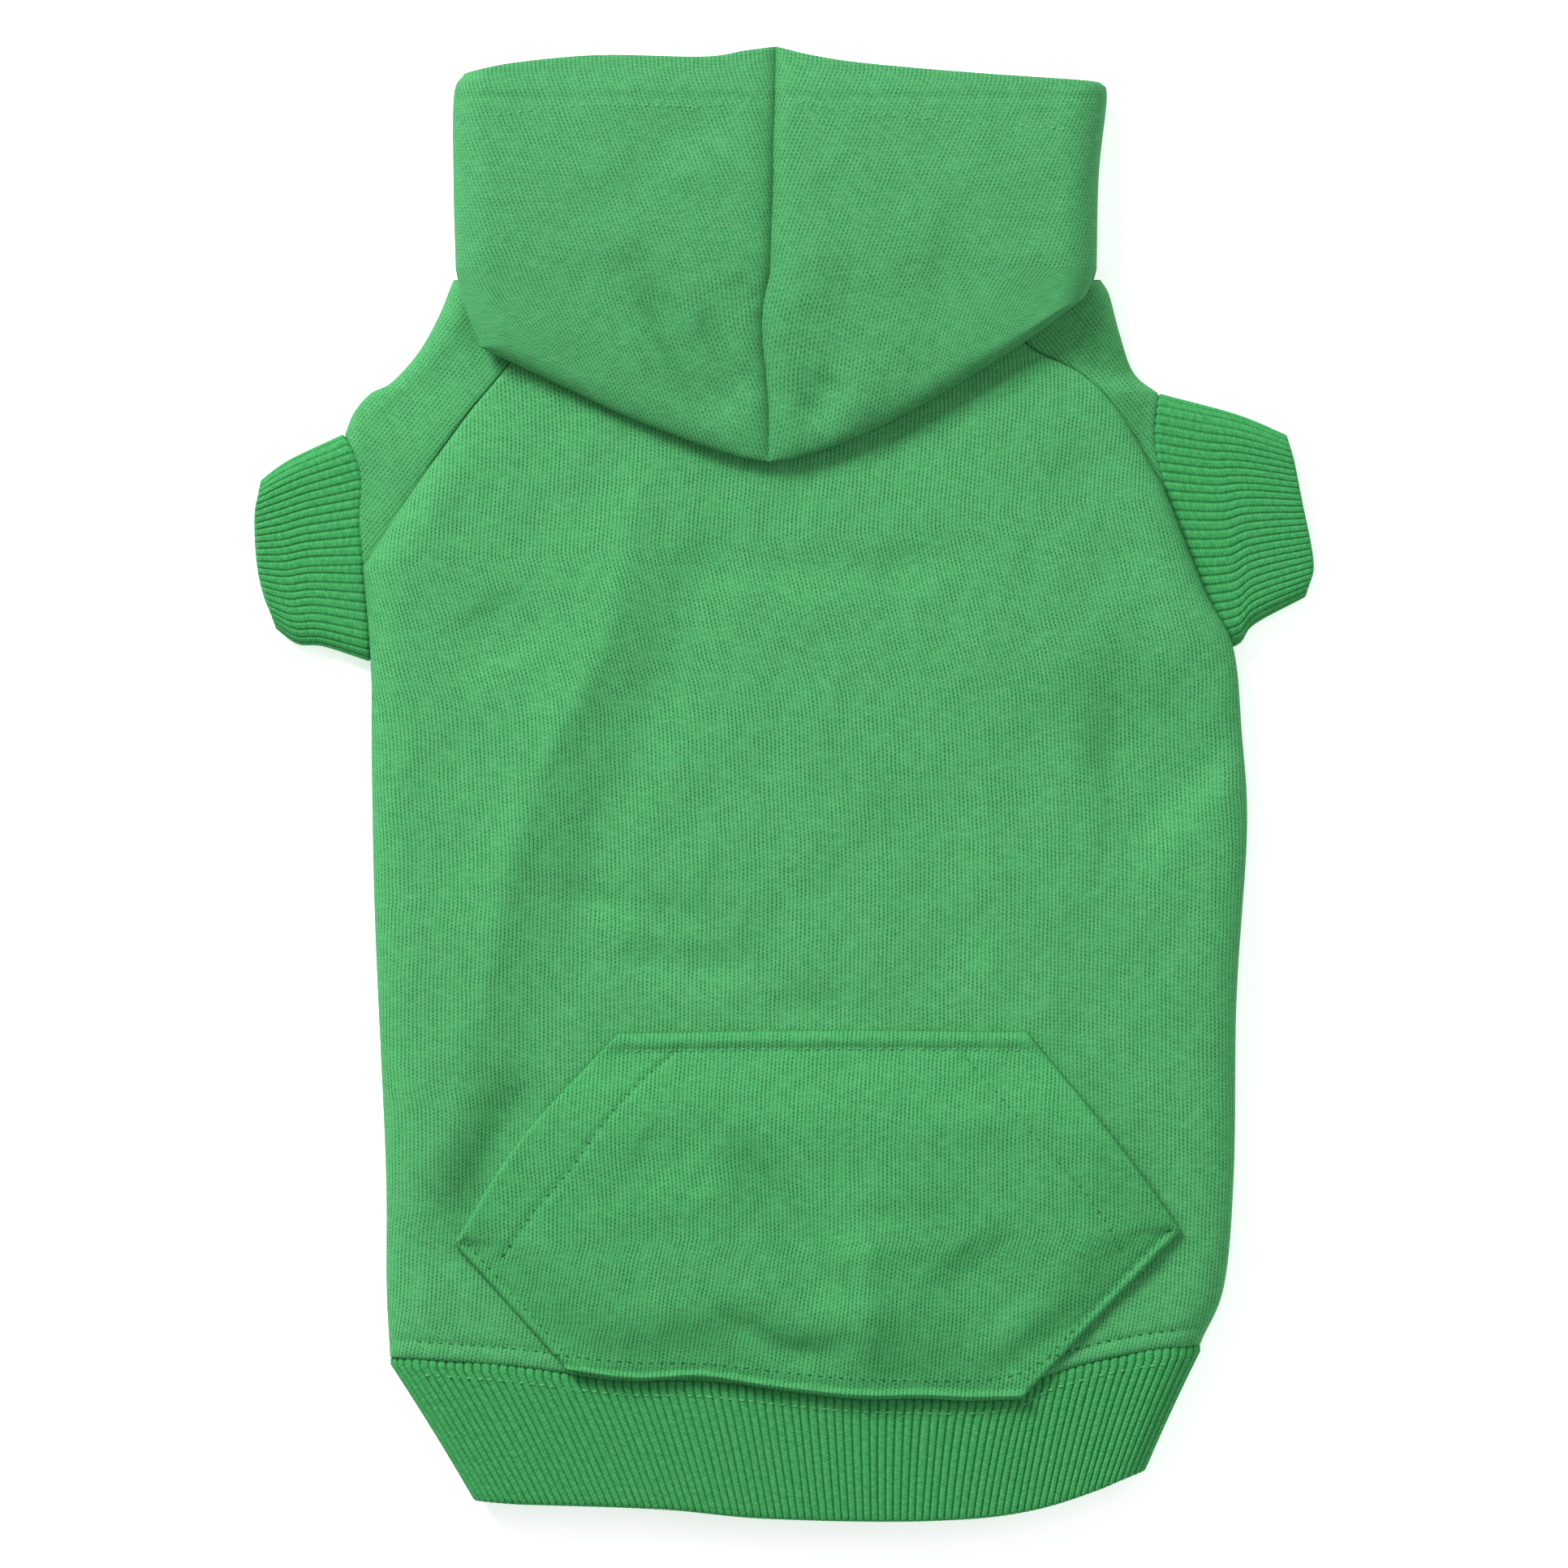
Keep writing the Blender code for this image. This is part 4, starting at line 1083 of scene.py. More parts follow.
@dataclass
class BellyPanel(Panel):
    """The belly, flat on the floor and curled up to the side seams."""

    flank_steps: int = 70
    tuck_steps: int = 12
    slope_steps: int = 34
    columns: int = 72
    cut: tuple[float, float] = (0.265, 0.330)
    cut_area: float = 0.0790

    def build(self) -> bpy.types.Object:
        """Make the panel.

        Returns:
            The dressed piece.
        """
        size = self.pattern
        base = size.body(HEM_SEAM).moved(0.0, size.seam_gap / 2)
        neck = [size.hood_point(mark) - (0.0, 2 * size.seam_gap)
                for mark in LEFT_NECKLINE[1:] + RIGHT_NECKLINE[:0:-1]]
        head = PlanCurve(
            [size.body_point(LEFT_RAGLAN[-1])] + neck[1:-1] + [size.body_point(RIGHT_RAGLAN[-1])]
        )
        edges = []
        for side, raglan, underarm, inward in (
            (LEFT_SIDE, LEFT_RAGLAN, LEFT_UNDERARM, 1), (RIGHT_SIDE, RIGHT_RAGLAN, RIGHT_UNDERARM, -1),
        ):
            armhole = Armhole(size, raglan, underarm, inward)
            slope = armhole.slope(0.0, self.slope_steps + 1)
            curve = size.body(side)
            corner_height = armhole.below()[1] - 2 * size.fleece_wall
            corner = np.interp(corner_height, curve.points[:, 1], curve.reached) / curve.length
            flank = curve.at(np.linspace(0.0, corner, self.flank_steps))
            tuck = PlanCurve([armhole.below(), slope[0]]).at(np.linspace(0, 1, self.tuck_steps))[:-1]
            shift = np.array((inward * size.under_gap, 0.0))
            edges.append(np.vstack((flank, tuck + shift, slope + shift)))
        left, right = edges
        left[0], right[0] = base.at(0.0), base.at(1.0)
        left[-1], right[-1] = head.at(0.0), head.at(1.0)
        shares = np.linspace(0.0, 1.0, len(left))
        plan, *from_sides = ruled(edges, (base, head), shares, (ROLL_EDGE, ROLL_EDGE), self.columns)
        lift = rolled(np.minimum(*from_sides), size.body_roll)
        curled = (np.arange(len(left)) < self.flank_steps)[:, None]
        height = np.where(curled, size.under_level, 0.0) * (1 - lift)
        points = raised(plan, height)
        cloth = ClothMesh("dressed_belly")
        cloth.add(points, knit_grid(points))
        piece = self.finished(cloth, size.fleece_wall, Dye.FLEECE, Slot.BODY, "belly_panel", up=False)
        return piece


LEFT_SHOULDER = drawn(
    (-0.406, 0.999), (-0.423, 0.965), (-0.446, 0.932), (-0.477, 0.904), (-0.501, 0.894),
    (-0.520, 0.876), (-0.530, 0.856),
)
RIGHT_SHOULDER = drawn(
    (0.333, 0.999), (0.343, 0.985), (0.355, 0.949), (0.371, 0.913), (0.399, 0.894),
)
LEFT_CUFF_SEAM = drawn(
    (-0.530, 0.856), (-0.513, 0.820), (-0.514, 0.775), (-0.509, 0.731), (-0.500, 0.644),
)
RIGHT_CUFF_SEAM = drawn(
    (0.399, 0.894), (0.395, 0.849), (0.407, 0.802), (0.420, 0.720), (0.431, 0.648),
)


@dataclass
class Sleeve(Panel):
    """A raglan sleeve: two leaves that meet along the shoulder and at the underarm."""

    name: str
    node: str
    sign: int
    armhole: Armhole
    shoulder: tuple[Mark, ...]
    cuff_seam: tuple[Mark, ...]
    fold_share: float
    cut: tuple[float, float]
    cut_area: float
    shoulder_steps: int = 34
    seam_steps: int = 48
    columns: int = 30
    crowding: float = 1.25
    seed: int = 11
    unevenness: float = 0.00025
    seam_depth: float = 0.0010
    seam_reach: float = 0.0020

    def build(self) -> bpy.types.Object:
        """Make the sleeve.

        Returns:
            The dressed piece.
        """
        size = self.pattern
        slope = self.armhole.slope(self.sign * size.seam_gap / 2, 60)
        below = self.armhole.below()
        hole = PlanCurve(np.vstack((slope[::-1], below[None])), smooth=False)
        shoulder = size.body(self.shoulder)
        seam = size.body(self.cuff_seam)
        run = seam.length
        steps = np.arange(self.shoulder_steps) / self.shoulder_steps
        along = spread(run, ROLL_EDGE, ROLL_EDGE, self.seam_steps)[0]
        starts = np.vstack((shoulder.at(steps), seam.at(along / run)))
        shares = np.concatenate((
            self.fold_share * steps, self.fold_share + (1 - self.fold_share) * along / run
        ))
        past = np.concatenate((steps * 0, along))[:, None]
        before = np.concatenate((steps * 0 + run, run - along))[:, None]
        finishes = hole.at(shares)
        widths = np.linalg.norm(finishes - starts, axis=1)[:, None]
        even = np.linspace(0.0, 1.0, self.columns) ** self.crowding
        places = widths * even[None]
        plan = starts[:, None] + (finishes - starts)[:, None] * even[None, :, None]
        near = size.cuff_height + (size.neck_height - size.cuff_height) * (
            1 - ease(np.concatenate((steps, along * 0 + 1)))
        )[:, None]
        hidden = 1 - np.linalg.norm(below - slope[0]) / hole.length
        far = size.neck_height * level(RAGLAN_SLEEVE_LEVELS, np.clip(1 - shares / hidden, 0, 1))[:, None]
        top = near + (far - near) * ease(even)[None]
        lift = np.minimum(rolled(places + past, size.sleeve_roll), rolled(before, size.sleeve_roll))
        waves = Relief((), size.body_point, self.seed, self.unevenness).drop(plan)
        over = top * (1 + lift) / 2 - waves * lift
        over -= pulled_in(widths - places, self.seam_depth, self.seam_reach) * (lift > 0.05)
        cuffed = np.concatenate((steps * 0, along * 0 + 1))[:, None]
        over -= pulled_in(places, self.seam_depth, self.seam_reach) * cuffed * lift
        under = top * (1 - lift) / 2
        grids = [raised(plan, height) for height in (over, under)]
        grids[1][:self.shoulder_steps + 1, 0] = grids[0][:self.shoulder_steps + 1, 0]
        grids[1][-1] = grids[0][-1]
        cloth = ClothMesh(self.name)
        heading = (finishes - starts) / widths
        for grid in grids:
            runs = np.linalg.norm(np.diff(grid, axis=1), axis=2)[:, ::-1]
            from_hole = np.zeros(grid.shape[:2])
            from_hole[:, :-1] = np.cumsum(runs, axis=1)[:, ::-1]
            knit = finishes[:, None] - heading[:, None] * from_hole[..., None]
            cloth.add(grid, knit * (-self.sign, 1.0))
        piece = self.finished(cloth, size.fleece_wall, Dye.SLEEVE, Slot.BODY, self.node)
        return piece


LEFT_CUFF_TOP = drawn((0.00, 0.000), (0.40, 0.113), (0.62, 0.208))
LEFT_CUFF_END = drawn((0.62, 0.208), (0.65, 0.385), (0.62, 0.620), (0.51, 0.850))
LEFT_CUFF_UNDER = drawn((0.51, 0.850), (0.33, 0.925), (0.14, 0.935), (-0.20, 1.000))
RIGHT_CUFF_TOP = drawn((0.00, 0.000), (0.56, 0.077), (0.95, 0.160))
RIGHT_CUFF_END = drawn((0.95, 0.160), (1.04, 0.395), (1.13, 0.640), (1.09, 0.768))
RIGHT_CUFF_UNDER = drawn((1.09, 0.768), (0.69, 0.878), (0.56, 0.957), (0.205, 1.000))
RIB_PROFILE = (0.0, 0.09, 0.22, 0.40, 0.60, 0.78, 0.91)


@dataclass
class RibTube(Panel):
    """A flattened tube of rib knit, with real ribs from its seam to its free edge."""

    name: str
    node: str
    ribs: int
    rib_depth: float = 0.0008
    edge_round: float = 0.0012
    sway: float = 0.05
    section_steps: int = 160

    def ribbed(self, starts: Array, finishes: Array, seam: PlanCurve, edge: PlanCurve,
               shares: Array, tops: Array, roll: float, seed: int) -> tuple[Array, Array, Array]:
        """The tube's rings, cut into ribs.

        Args:
            starts: The first fold's point of each ring.
            finishes: The second fold's point of each ring.
            seam: The plan curve of the first ring.
            edge: The plan curve of the last ring.
            shares: How far each ring is from seam to edge.
            tops: The height of each ring.
            roll: The radius across the fold at either side.
            seed: Which unevenness the ribs have.

        Returns:
            The outer points and the inner points by ring and column, and the knit's coordinates.
        """
        turns = np.linspace(0.0, math.pi / 2, 16)
        round_places = roll * (1 - np.cos(turns))
        plan, *from_sides = ruled(
            (starts, finishes), (seam, edge), shares, (round_places, round_places), self.section_steps
        )
        lift = rolled(np.minimum(*from_sides), roll)
        upper = raised(plan, tops[:, None] * (1 + lift) / 2)
        lower = raised(plan, tops[:, None] * (1 - lift) / 2)
        loop = np.concatenate((upper, lower[:, -2::-1]), axis=1)
        counts = (np.arange(self.ribs)[:, None] + np.array(RIB_PROFILE)[None]).reshape(-1)
        counts = np.append(counts, self.ribs)
        rings = []
        chance = np.random.default_rng(seed)
        sways = chance.normal(0.0, self.sway, self.ribs + 1)
        for ring, share in zip(loop, shares):
            steps = np.linalg.norm(np.diff(ring, axis=0), axis=1)
            reach = np.concatenate(([0.0], np.cumsum(steps)))
            drift = np.interp(counts, np.arange(self.ribs + 1), sways) * math.sin(math.pi * share)
            drift[0] = drift[-1] = 0.0
            at = (counts + drift) / self.ribs * reach[-1]
            rings.append(np.stack([np.interp(at, reach, ring[:, axis]) for axis in range(3)], axis=-1))
        rings = np.array(rings)
        across = np.gradient(rings, axis=1)
        across[:, 0] = across[:, -1] = (across[:, 0] + across[:, -1]) / 2
        outward = np.cross(across, np.gradient(rings, axis=0))
        outward /= np.maximum(np.linalg.norm(outward, axis=2), 1e-12)[..., None]
        if outward[len(rings) // 2, len(counts) // 4, 2] < 0:
            outward = -outward
        place = np.abs(np.mod(counts, 1.0) - 0.5) * 2
        depth = self.rib_depth * place ** 4
        run = np.concatenate(
            ([0.0], np.cumsum(np.linalg.norm(np.diff(rings[:, len(counts) // 4], axis=0), axis=1)))
        )
        end = self.edge_round * (1 - rolled(run[-1] - run, self.edge_round))
        start = self.edge_round * (1 - rolled(run, self.edge_round))
        inner = rings - outward * self.pattern.rib_wall
        rings = rings - outward * (depth[None] + (end + start)[:, None])[..., None]
        knit = np.stack((
            np.broadcast_to(counts[None], rings.shape[:2]),
            np.broadcast_to(run[:, None], rings.shape[:2]),
        ), axis=-1)
        return rings, inner, knit


@dataclass(kw_only=True)
class Cuff(RibTube):
    """A ribbed cuff, narrower at its free end."""

    sign: int
    cuff_seam: tuple[Mark, ...]
    outlines: tuple[tuple[Mark, ...], ...]
    cut: tuple[float, float]
    cut_area: float
    rib_depth: float = 0.0006
    seed: int = 5
    rings: int = 26

    def build(self) -> bpy.types.Object:
        """Make the cuff.

        Returns:
            The dressed piece.
        """
        size = self.pattern
        seam = size.body(self.cuff_seam).moved(self.sign * size.cuff_gap)
        top = size.cuff(self.outlines[0], seam, self.sign)
        end = size.cuff(self.outlines[1], seam, self.sign)
        under = size.cuff(self.outlines[2][::-1], seam, self.sign)
        shares = spread(1.0, TUBE_EDGE, TUBE_EDGE, self.rings)[0]
        starts = top.at(shares)
        finishes = (1 - shares)[:, None] * (seam.at(1.0) - under.at(0.0)) + under.at(shares)
        tuck = np.array((self.sign * size.cuff_tuck, 0.0))
        starts = np.vstack((starts[:1] - tuck, starts))
        finishes = np.vstack((finishes[:1] - tuck, finishes))
        shares = np.append(0.0, shares)
        tops = np.full(len(shares), size.cuff_height)
        grids = self.ribbed(
            starts, finishes, seam, end, shares, tops, size.sleeve_roll, self.seed + self.sign
        )
        cloth = ClothMesh(self.name)
        cloth.add_walled(*grids)
        piece = self.finished(cloth, 0.0, Dye.RIB, Slot.RIB, self.node)
        return piece


BAND_EDGE = drawn(
    (-0.381, -1.100), (-0.176, -1.143), (-0.049, -1.214), (0.132, -1.232), (0.258, -1.149),
    (0.383, -0.880),
)


@dataclass
class HemBand(RibTube):
    """The rib band at the hem, a flattened tube that draws in below the body."""

    rings: int = 24
    seed: int = 9
    cut: tuple[float, float] = (0.460, 0.046)
    cut_area: float = 0.0205

    def build(self) -> bpy.types.Object:
        """Make the band.

        Returns:
            The dressed piece.
        """
        size = self.pattern
        seam = size.body(HEM_SEAM).moved(0.0, -size.seam_gap / 2)
        edge = size.band(BAND_EDGE)
        shares = spread(1.0, TUBE_EDGE, TUBE_EDGE, self.rings)[0]
        along = shares * (size.band_depth + size.band_shoulder)
        lower = np.clip((along - size.band_shoulder) / size.band_depth, 0.0, 1.0)
        drop = -np.minimum(along, size.band_shoulder) * (1 - lower)
        drops = np.stack((drop * 0, drop), axis=-1)
        starts = (1 - lower)[:, None] * (seam.at(0.0) + drops) + lower[:, None] * edge.at(0.0)
        finishes = (1 - lower)[:, None] * (seam.at(1.0) + drops) + lower[:, None] * edge.at(1.0)
        tops = size.band_height + lower * (size.band_edge_height - size.band_height)
        grids = self.ribbed(starts, finishes, seam, edge, lower, tops, size.body_roll, self.seed)
        cloth = ClothMesh(self.name)
        cloth.add_walled(*grids)
        piece = self.finished(cloth, 0.0, Dye.BAND, Slot.RIB, self.node)
        return piece


CROWN_SEAM = drawn((0.000, 1.005), (-0.004, 0.625), (-0.010, 0.030))
POUCH_SEAM = drawn((-0.010, 0.030), (-0.022, -0.264), (-0.013, -0.705), (-0.012, -1.000))
LEFT_FACE_HEM = drawn(
    (0.000, 1.005), (-0.050, 0.985), (-0.116, 0.958), (-0.275, 0.965), (-0.404, 0.933),
    (-0.487, 0.888),
)
RIGHT_FACE_HEM = drawn(
    (0.000, 1.005), (0.056, 0.965), (0.138, 0.930), (0.305, 0.888), (0.505, 0.850),
)
LEFT_HOOD_SIDE = drawn((-0.487, 0.888), (-0.503, 0.790), (-0.503, 0.400), (-0.499, 0.040))
RIGHT_HOOD_SIDE = drawn((0.505, 0.850), (0.515, 0.790), (0.502, 0.450), (0.498, 0.040))
LEFT_HOOD_FALL = drawn((-0.499, 0.040), (-0.486, -0.145), (-0.460, -0.379))
RIGHT_HOOD_FALL = drawn((0.498, 0.040), (0.492, -0.020), (0.478, -0.110))
LEFT_HOOD_LOW = drawn(
    (-0.012, -1.000), (-0.060, -0.972), (-0.133, -0.890), (-0.243, -0.740), (-0.327, -0.599),
    (-0.460, -0.379),
)
RIGHT_HOOD_LOW = drawn(
    (-0.012, -1.000), (0.032, -0.978), (0.118, -0.877), (0.226, -0.692), (0.376, -0.374),
    (0.478, -0.110),
)
HOOD_FOLD_LEVELS = (
    Level(-1.0, 1.28), Level(-0.38, 1.24), Level(-0.15, 1.12), Level(0.04, 0.96), Level(0.2, 0.84),
    Level(0.5, 0.66), Level(0.9, 0.50),
)
HOOD_TOP_LEVELS = (
    Level(-1.0, 0.84), Level(-0.7, 0.92), Level(-0.3, 1.0), Level(0.1, 0.94), Level(0.45, 0.70),
    Level(0.8, 0.24), Level(1.0, -0.28),
)


@dataclass
class HoodHalf(Panel):
    """Half of the hood: its upper leaf, the cheek folded under it and the pouch behind the nape."""

    name: str
    node: str
    sign: int
    face_hem: tuple[Mark, ...]
    side: tuple[Mark, ...]
    fall: tuple[Mark, ...]
    low: tuple[Mark, ...]
    neckline: tuple[Mark, ...]
    front_steps: int = 56
    pouch_steps: int = 34
    columns: int = 64
    cheek_steps: int = 26
    cheek_corner: float = 0.065
    seed: int = 21
    unevenness: float = 0.00022
    crown_depth: float = 0.0034
    crown_reach: float = 0.0022
    hem_stitch: float = 0.0150
    stitch_depth: float = 0.0005
    stitch_reach: float = 0.0012
    cut: tuple[float, float] = (0.150, 0.130)
    cut_area: float = 0.0175
    folds: tuple[Fold, ...] = (
        Fold(drawn((-0.215, 0.040), (-0.204, -0.020), (-0.168, -0.268), (-0.099, -0.634),
                   (-0.040, -0.840)), 0.0054, 0.0038),
        Fold(drawn((-0.125, -0.140), (-0.117, -0.207), (-0.080, -0.450), (-0.030, -0.700)),
             0.0042, 0.0024),
        Fold(drawn((-0.145, -0.120), (-0.120, -0.420), (-0.070, -0.720)), 0.0040, -0.0012),
        Fold(drawn((0.090, -0.500), (0.080, -0.620), (0.045, -0.820)), 0.0070, 0.0026),
        Fold(drawn((0.160, -0.380), (0.100, -0.800)), 0.0080, -0.0010),
        Fold(drawn((0.225, 0.060), (0.267, 0.028), (0.330, 0.080)), 0.0140, 0.0012),
        Fold(drawn((-0.254, 0.313), (-0.170, 0.560), (-0.078, 0.734)), 0.0070, 0.0008),
        Fold(drawn((-0.070, 0.020), (-0.040, -0.200)), 0.0070, 0.0009),
        Fold(drawn((0.050, 0.300), (0.045, 0.000), (0.030, -0.250)), 0.0080, -0.0008),
    )

    def top(self, plan: Array) -> Array:
        """The upper leaf's height away from its folds."""
        size = self.pattern
        loft = size.hood_loft * level(HOOD_TOP_LEVELS, size.hood_along(plan))
        relief = Relief(self.folds, size.hood_point, self.seed + self.sign, self.unevenness)
        return size.body_height + loft - relief.drop(plan)

    def fold(self, plan: Array) -> Array:
        """The height of the outer fold."""
        size = self.pattern
        return size.body_height * level(HOOD_FOLD_LEVELS, size.hood_along(plan))

    def build(self) -> bpy.types.Object:
        """Make the half.

        Returns:
            The dressed piece.
        """
        size = self.pattern
        hem, low = size.hood(self.face_hem), size.hood(self.low)
        crown, pouch = size.hood(CROWN_SEAM), size.hood(POUCH_SEAM)
        side, fall = size.hood(self.side), size.hood(self.fall)
        nape = PlanCurve([pouch.at(0.0), fall.at(0.0)])
        run = pouch.length
        front = np.linspace(0.0, 1.0, self.front_steps + 1)[:-1]
        back = spread(run, (0.0,), ROLL_EDGE, self.pouch_steps)[0]
        gap = np.array((self.sign * size.seam_gap / 2, 0.0))
        parts = []
        for starts, finishes, base, head, shares in (
            (crown.at(front), side.at(front), hem, nape, front),
            (pouch.at(back / run), fall.at(back / run), nape, low, back / run),
        ):
            parts.append(ruled(
                (starts + gap, finishes), (base, head), shares, (CREASE_EDGE, ROLL_EDGE), self.columns
            ))
        plan, from_crown, from_side = (np.concatenate(part) for part in zip(*parts))
        column_lift = rolled(from_side, size.hood_roll)
        row_lift = np.concatenate((front * 0 + 1, rolled(run - back, size.hood_roll)))[:, None]
        top = self.top(plan)
        groove = self.crown_depth * np.exp(-from_crown / self.crown_reach)
        hem_away = (1 - size.hood_along(plan)) * size.hood_rise - self.hem_stitch
        stitched = self.stitch_depth * bell(hem_away, self.stitch_reach)
        fold = self.fold(plan)
        height = fold + (top - groove - stitched - fold) * np.minimum(row_lift, column_lift)
        upper = raised(plan, height)
        cloth = ClothMesh(self.name)
        cloth.add(upper, knit_grid(upper))
        cheek = self._cheek(plan[:self.front_steps + 1], upper[:self.front_steps + 1])
        cloth.add(cheek, knit_grid(cheek))
        under_plan = plan[self.front_steps:]
        lift = np.minimum(row_lift[self.front_steps:], column_lift[self.front_steps:])
        rest = size.body_height + size.layer_gap
        level_under = self.fold(under_plan)
        under = raised(under_plan, level_under - (level_under - rest) * lift)
        under[-1] = upper[-1]
        under[:, -1] = upper[self.front_steps:, -1]
        cloth.add(under, knit_grid(under))
        piece = self.finished(cloth, size.fleece_wall, Dye.HOOD, Slot.HOOD, self.node)
        self._trim(piece, np.vstack((fall.points[::-1], side.points[::-1])))
        return piece

    def _trim(self, piece: bpy.types.Object, outline: Array) -> None:
        """Press the wall back inside the outer fold.

        Args:
            piece: The walled half.
            outline: Plan points of the outer fold, from the low edge up.
        """
        for vertex in piece.data.vertices:
            limit = abs(float(np.interp(vertex.co.y, outline[:, 1], outline[:, 0])))
            if self.sign * vertex.co.x > limit:
                vertex.co.x = self.sign * limit

    def _cheek(self, plan: Array, upper: Array) -> Array:
        """The front leaf, folded under along the side and narrowing from chin to face hem."""
        size = self.pattern
        neckline = size.hood(self.neckline)
        corner = plan[0, -1] + (-self.sign * self.cheek_corner * size.neck_width, 0.0)
        shares = np.arange(len(plan)) / (len(plan) - 1)
        starts = plan[:, -1]
        finishes = (1 - shares)[:, None] * corner + shares[:, None] * neckline.at(1.0)
        widths = np.linalg.norm(finishes - starts, axis=1)[:, None]
        turns = np.linspace(0.0, math.pi / 2, 10)[None]
        fold = np.minimum(
            size.hood_roll * (1 - np.cos(turns)), widths * np.sin(turns) * size.cheek_fold_share
        )
        inner = np.linspace(0.0, 1.0, self.cheek_steps + 1)[None, 1:]
        places = np.hstack((fold, fold[:, -1:] + (widths - fold[:, -1:]) * inner))
        across = places / widths
        u = across[..., None]
        straight = (1 - u) * starts[:, None] + u * finishes[:, None]
        bend = neckline.at(across) - ((1 - u) * neckline.at(0.0) + u * neckline.at(1.0))
        leaf = straight + (shares[:, None, None] ** 2) * bend
        drops = np.concatenate((np.sin(turns[0]), np.ones(self.cheek_steps)))
        cheek = raised(leaf, self.fold(starts)[:, None] * (1 - drops[None]))
        cheek[:, 0] = upper[:, -1]
        return cheek


POCKET_BASE = drawn(
    (-0.342, 0.055), (-0.248, 0.030), (-0.158, 0.036), (-0.058, 0.005), (0.054, -0.020),
    (0.143, -0.020), (0.210, -0.026), (0.280, -0.022),
)
POCKET_HEAD = drawn((-0.274, 1.000), (0.000, 1.008), (0.288, 1.004))
POCKET_LEFT_SEAM = drawn((-0.342, 0.055), (-0.500, 0.412))
POCKET_LEFT_MOUTH = drawn((-0.500, 0.412), (-0.410, 0.700), (-0.274, 1.000))
POCKET_RIGHT_SEAM = drawn((0.280, -0.022), (0.500, 0.448))
POCKET_RIGHT_MOUTH = drawn((0.500, 0.448), (0.410, 0.700), (0.288, 1.004))
LEFT_MOUTH_STITCH = drawn(
    (-0.187, 0.960), (-0.247, 0.856), (-0.303, 0.727), (-0.339, 0.620), (-0.391, 0.500),
    (-0.435, 0.371),
)
RIGHT_MOUTH_STITCH = drawn(
    (0.202, 0.937), (0.250, 0.824), (0.314, 0.677), (0.354, 0.588), (0.390, 0.491), (0.418, 0.387),
)


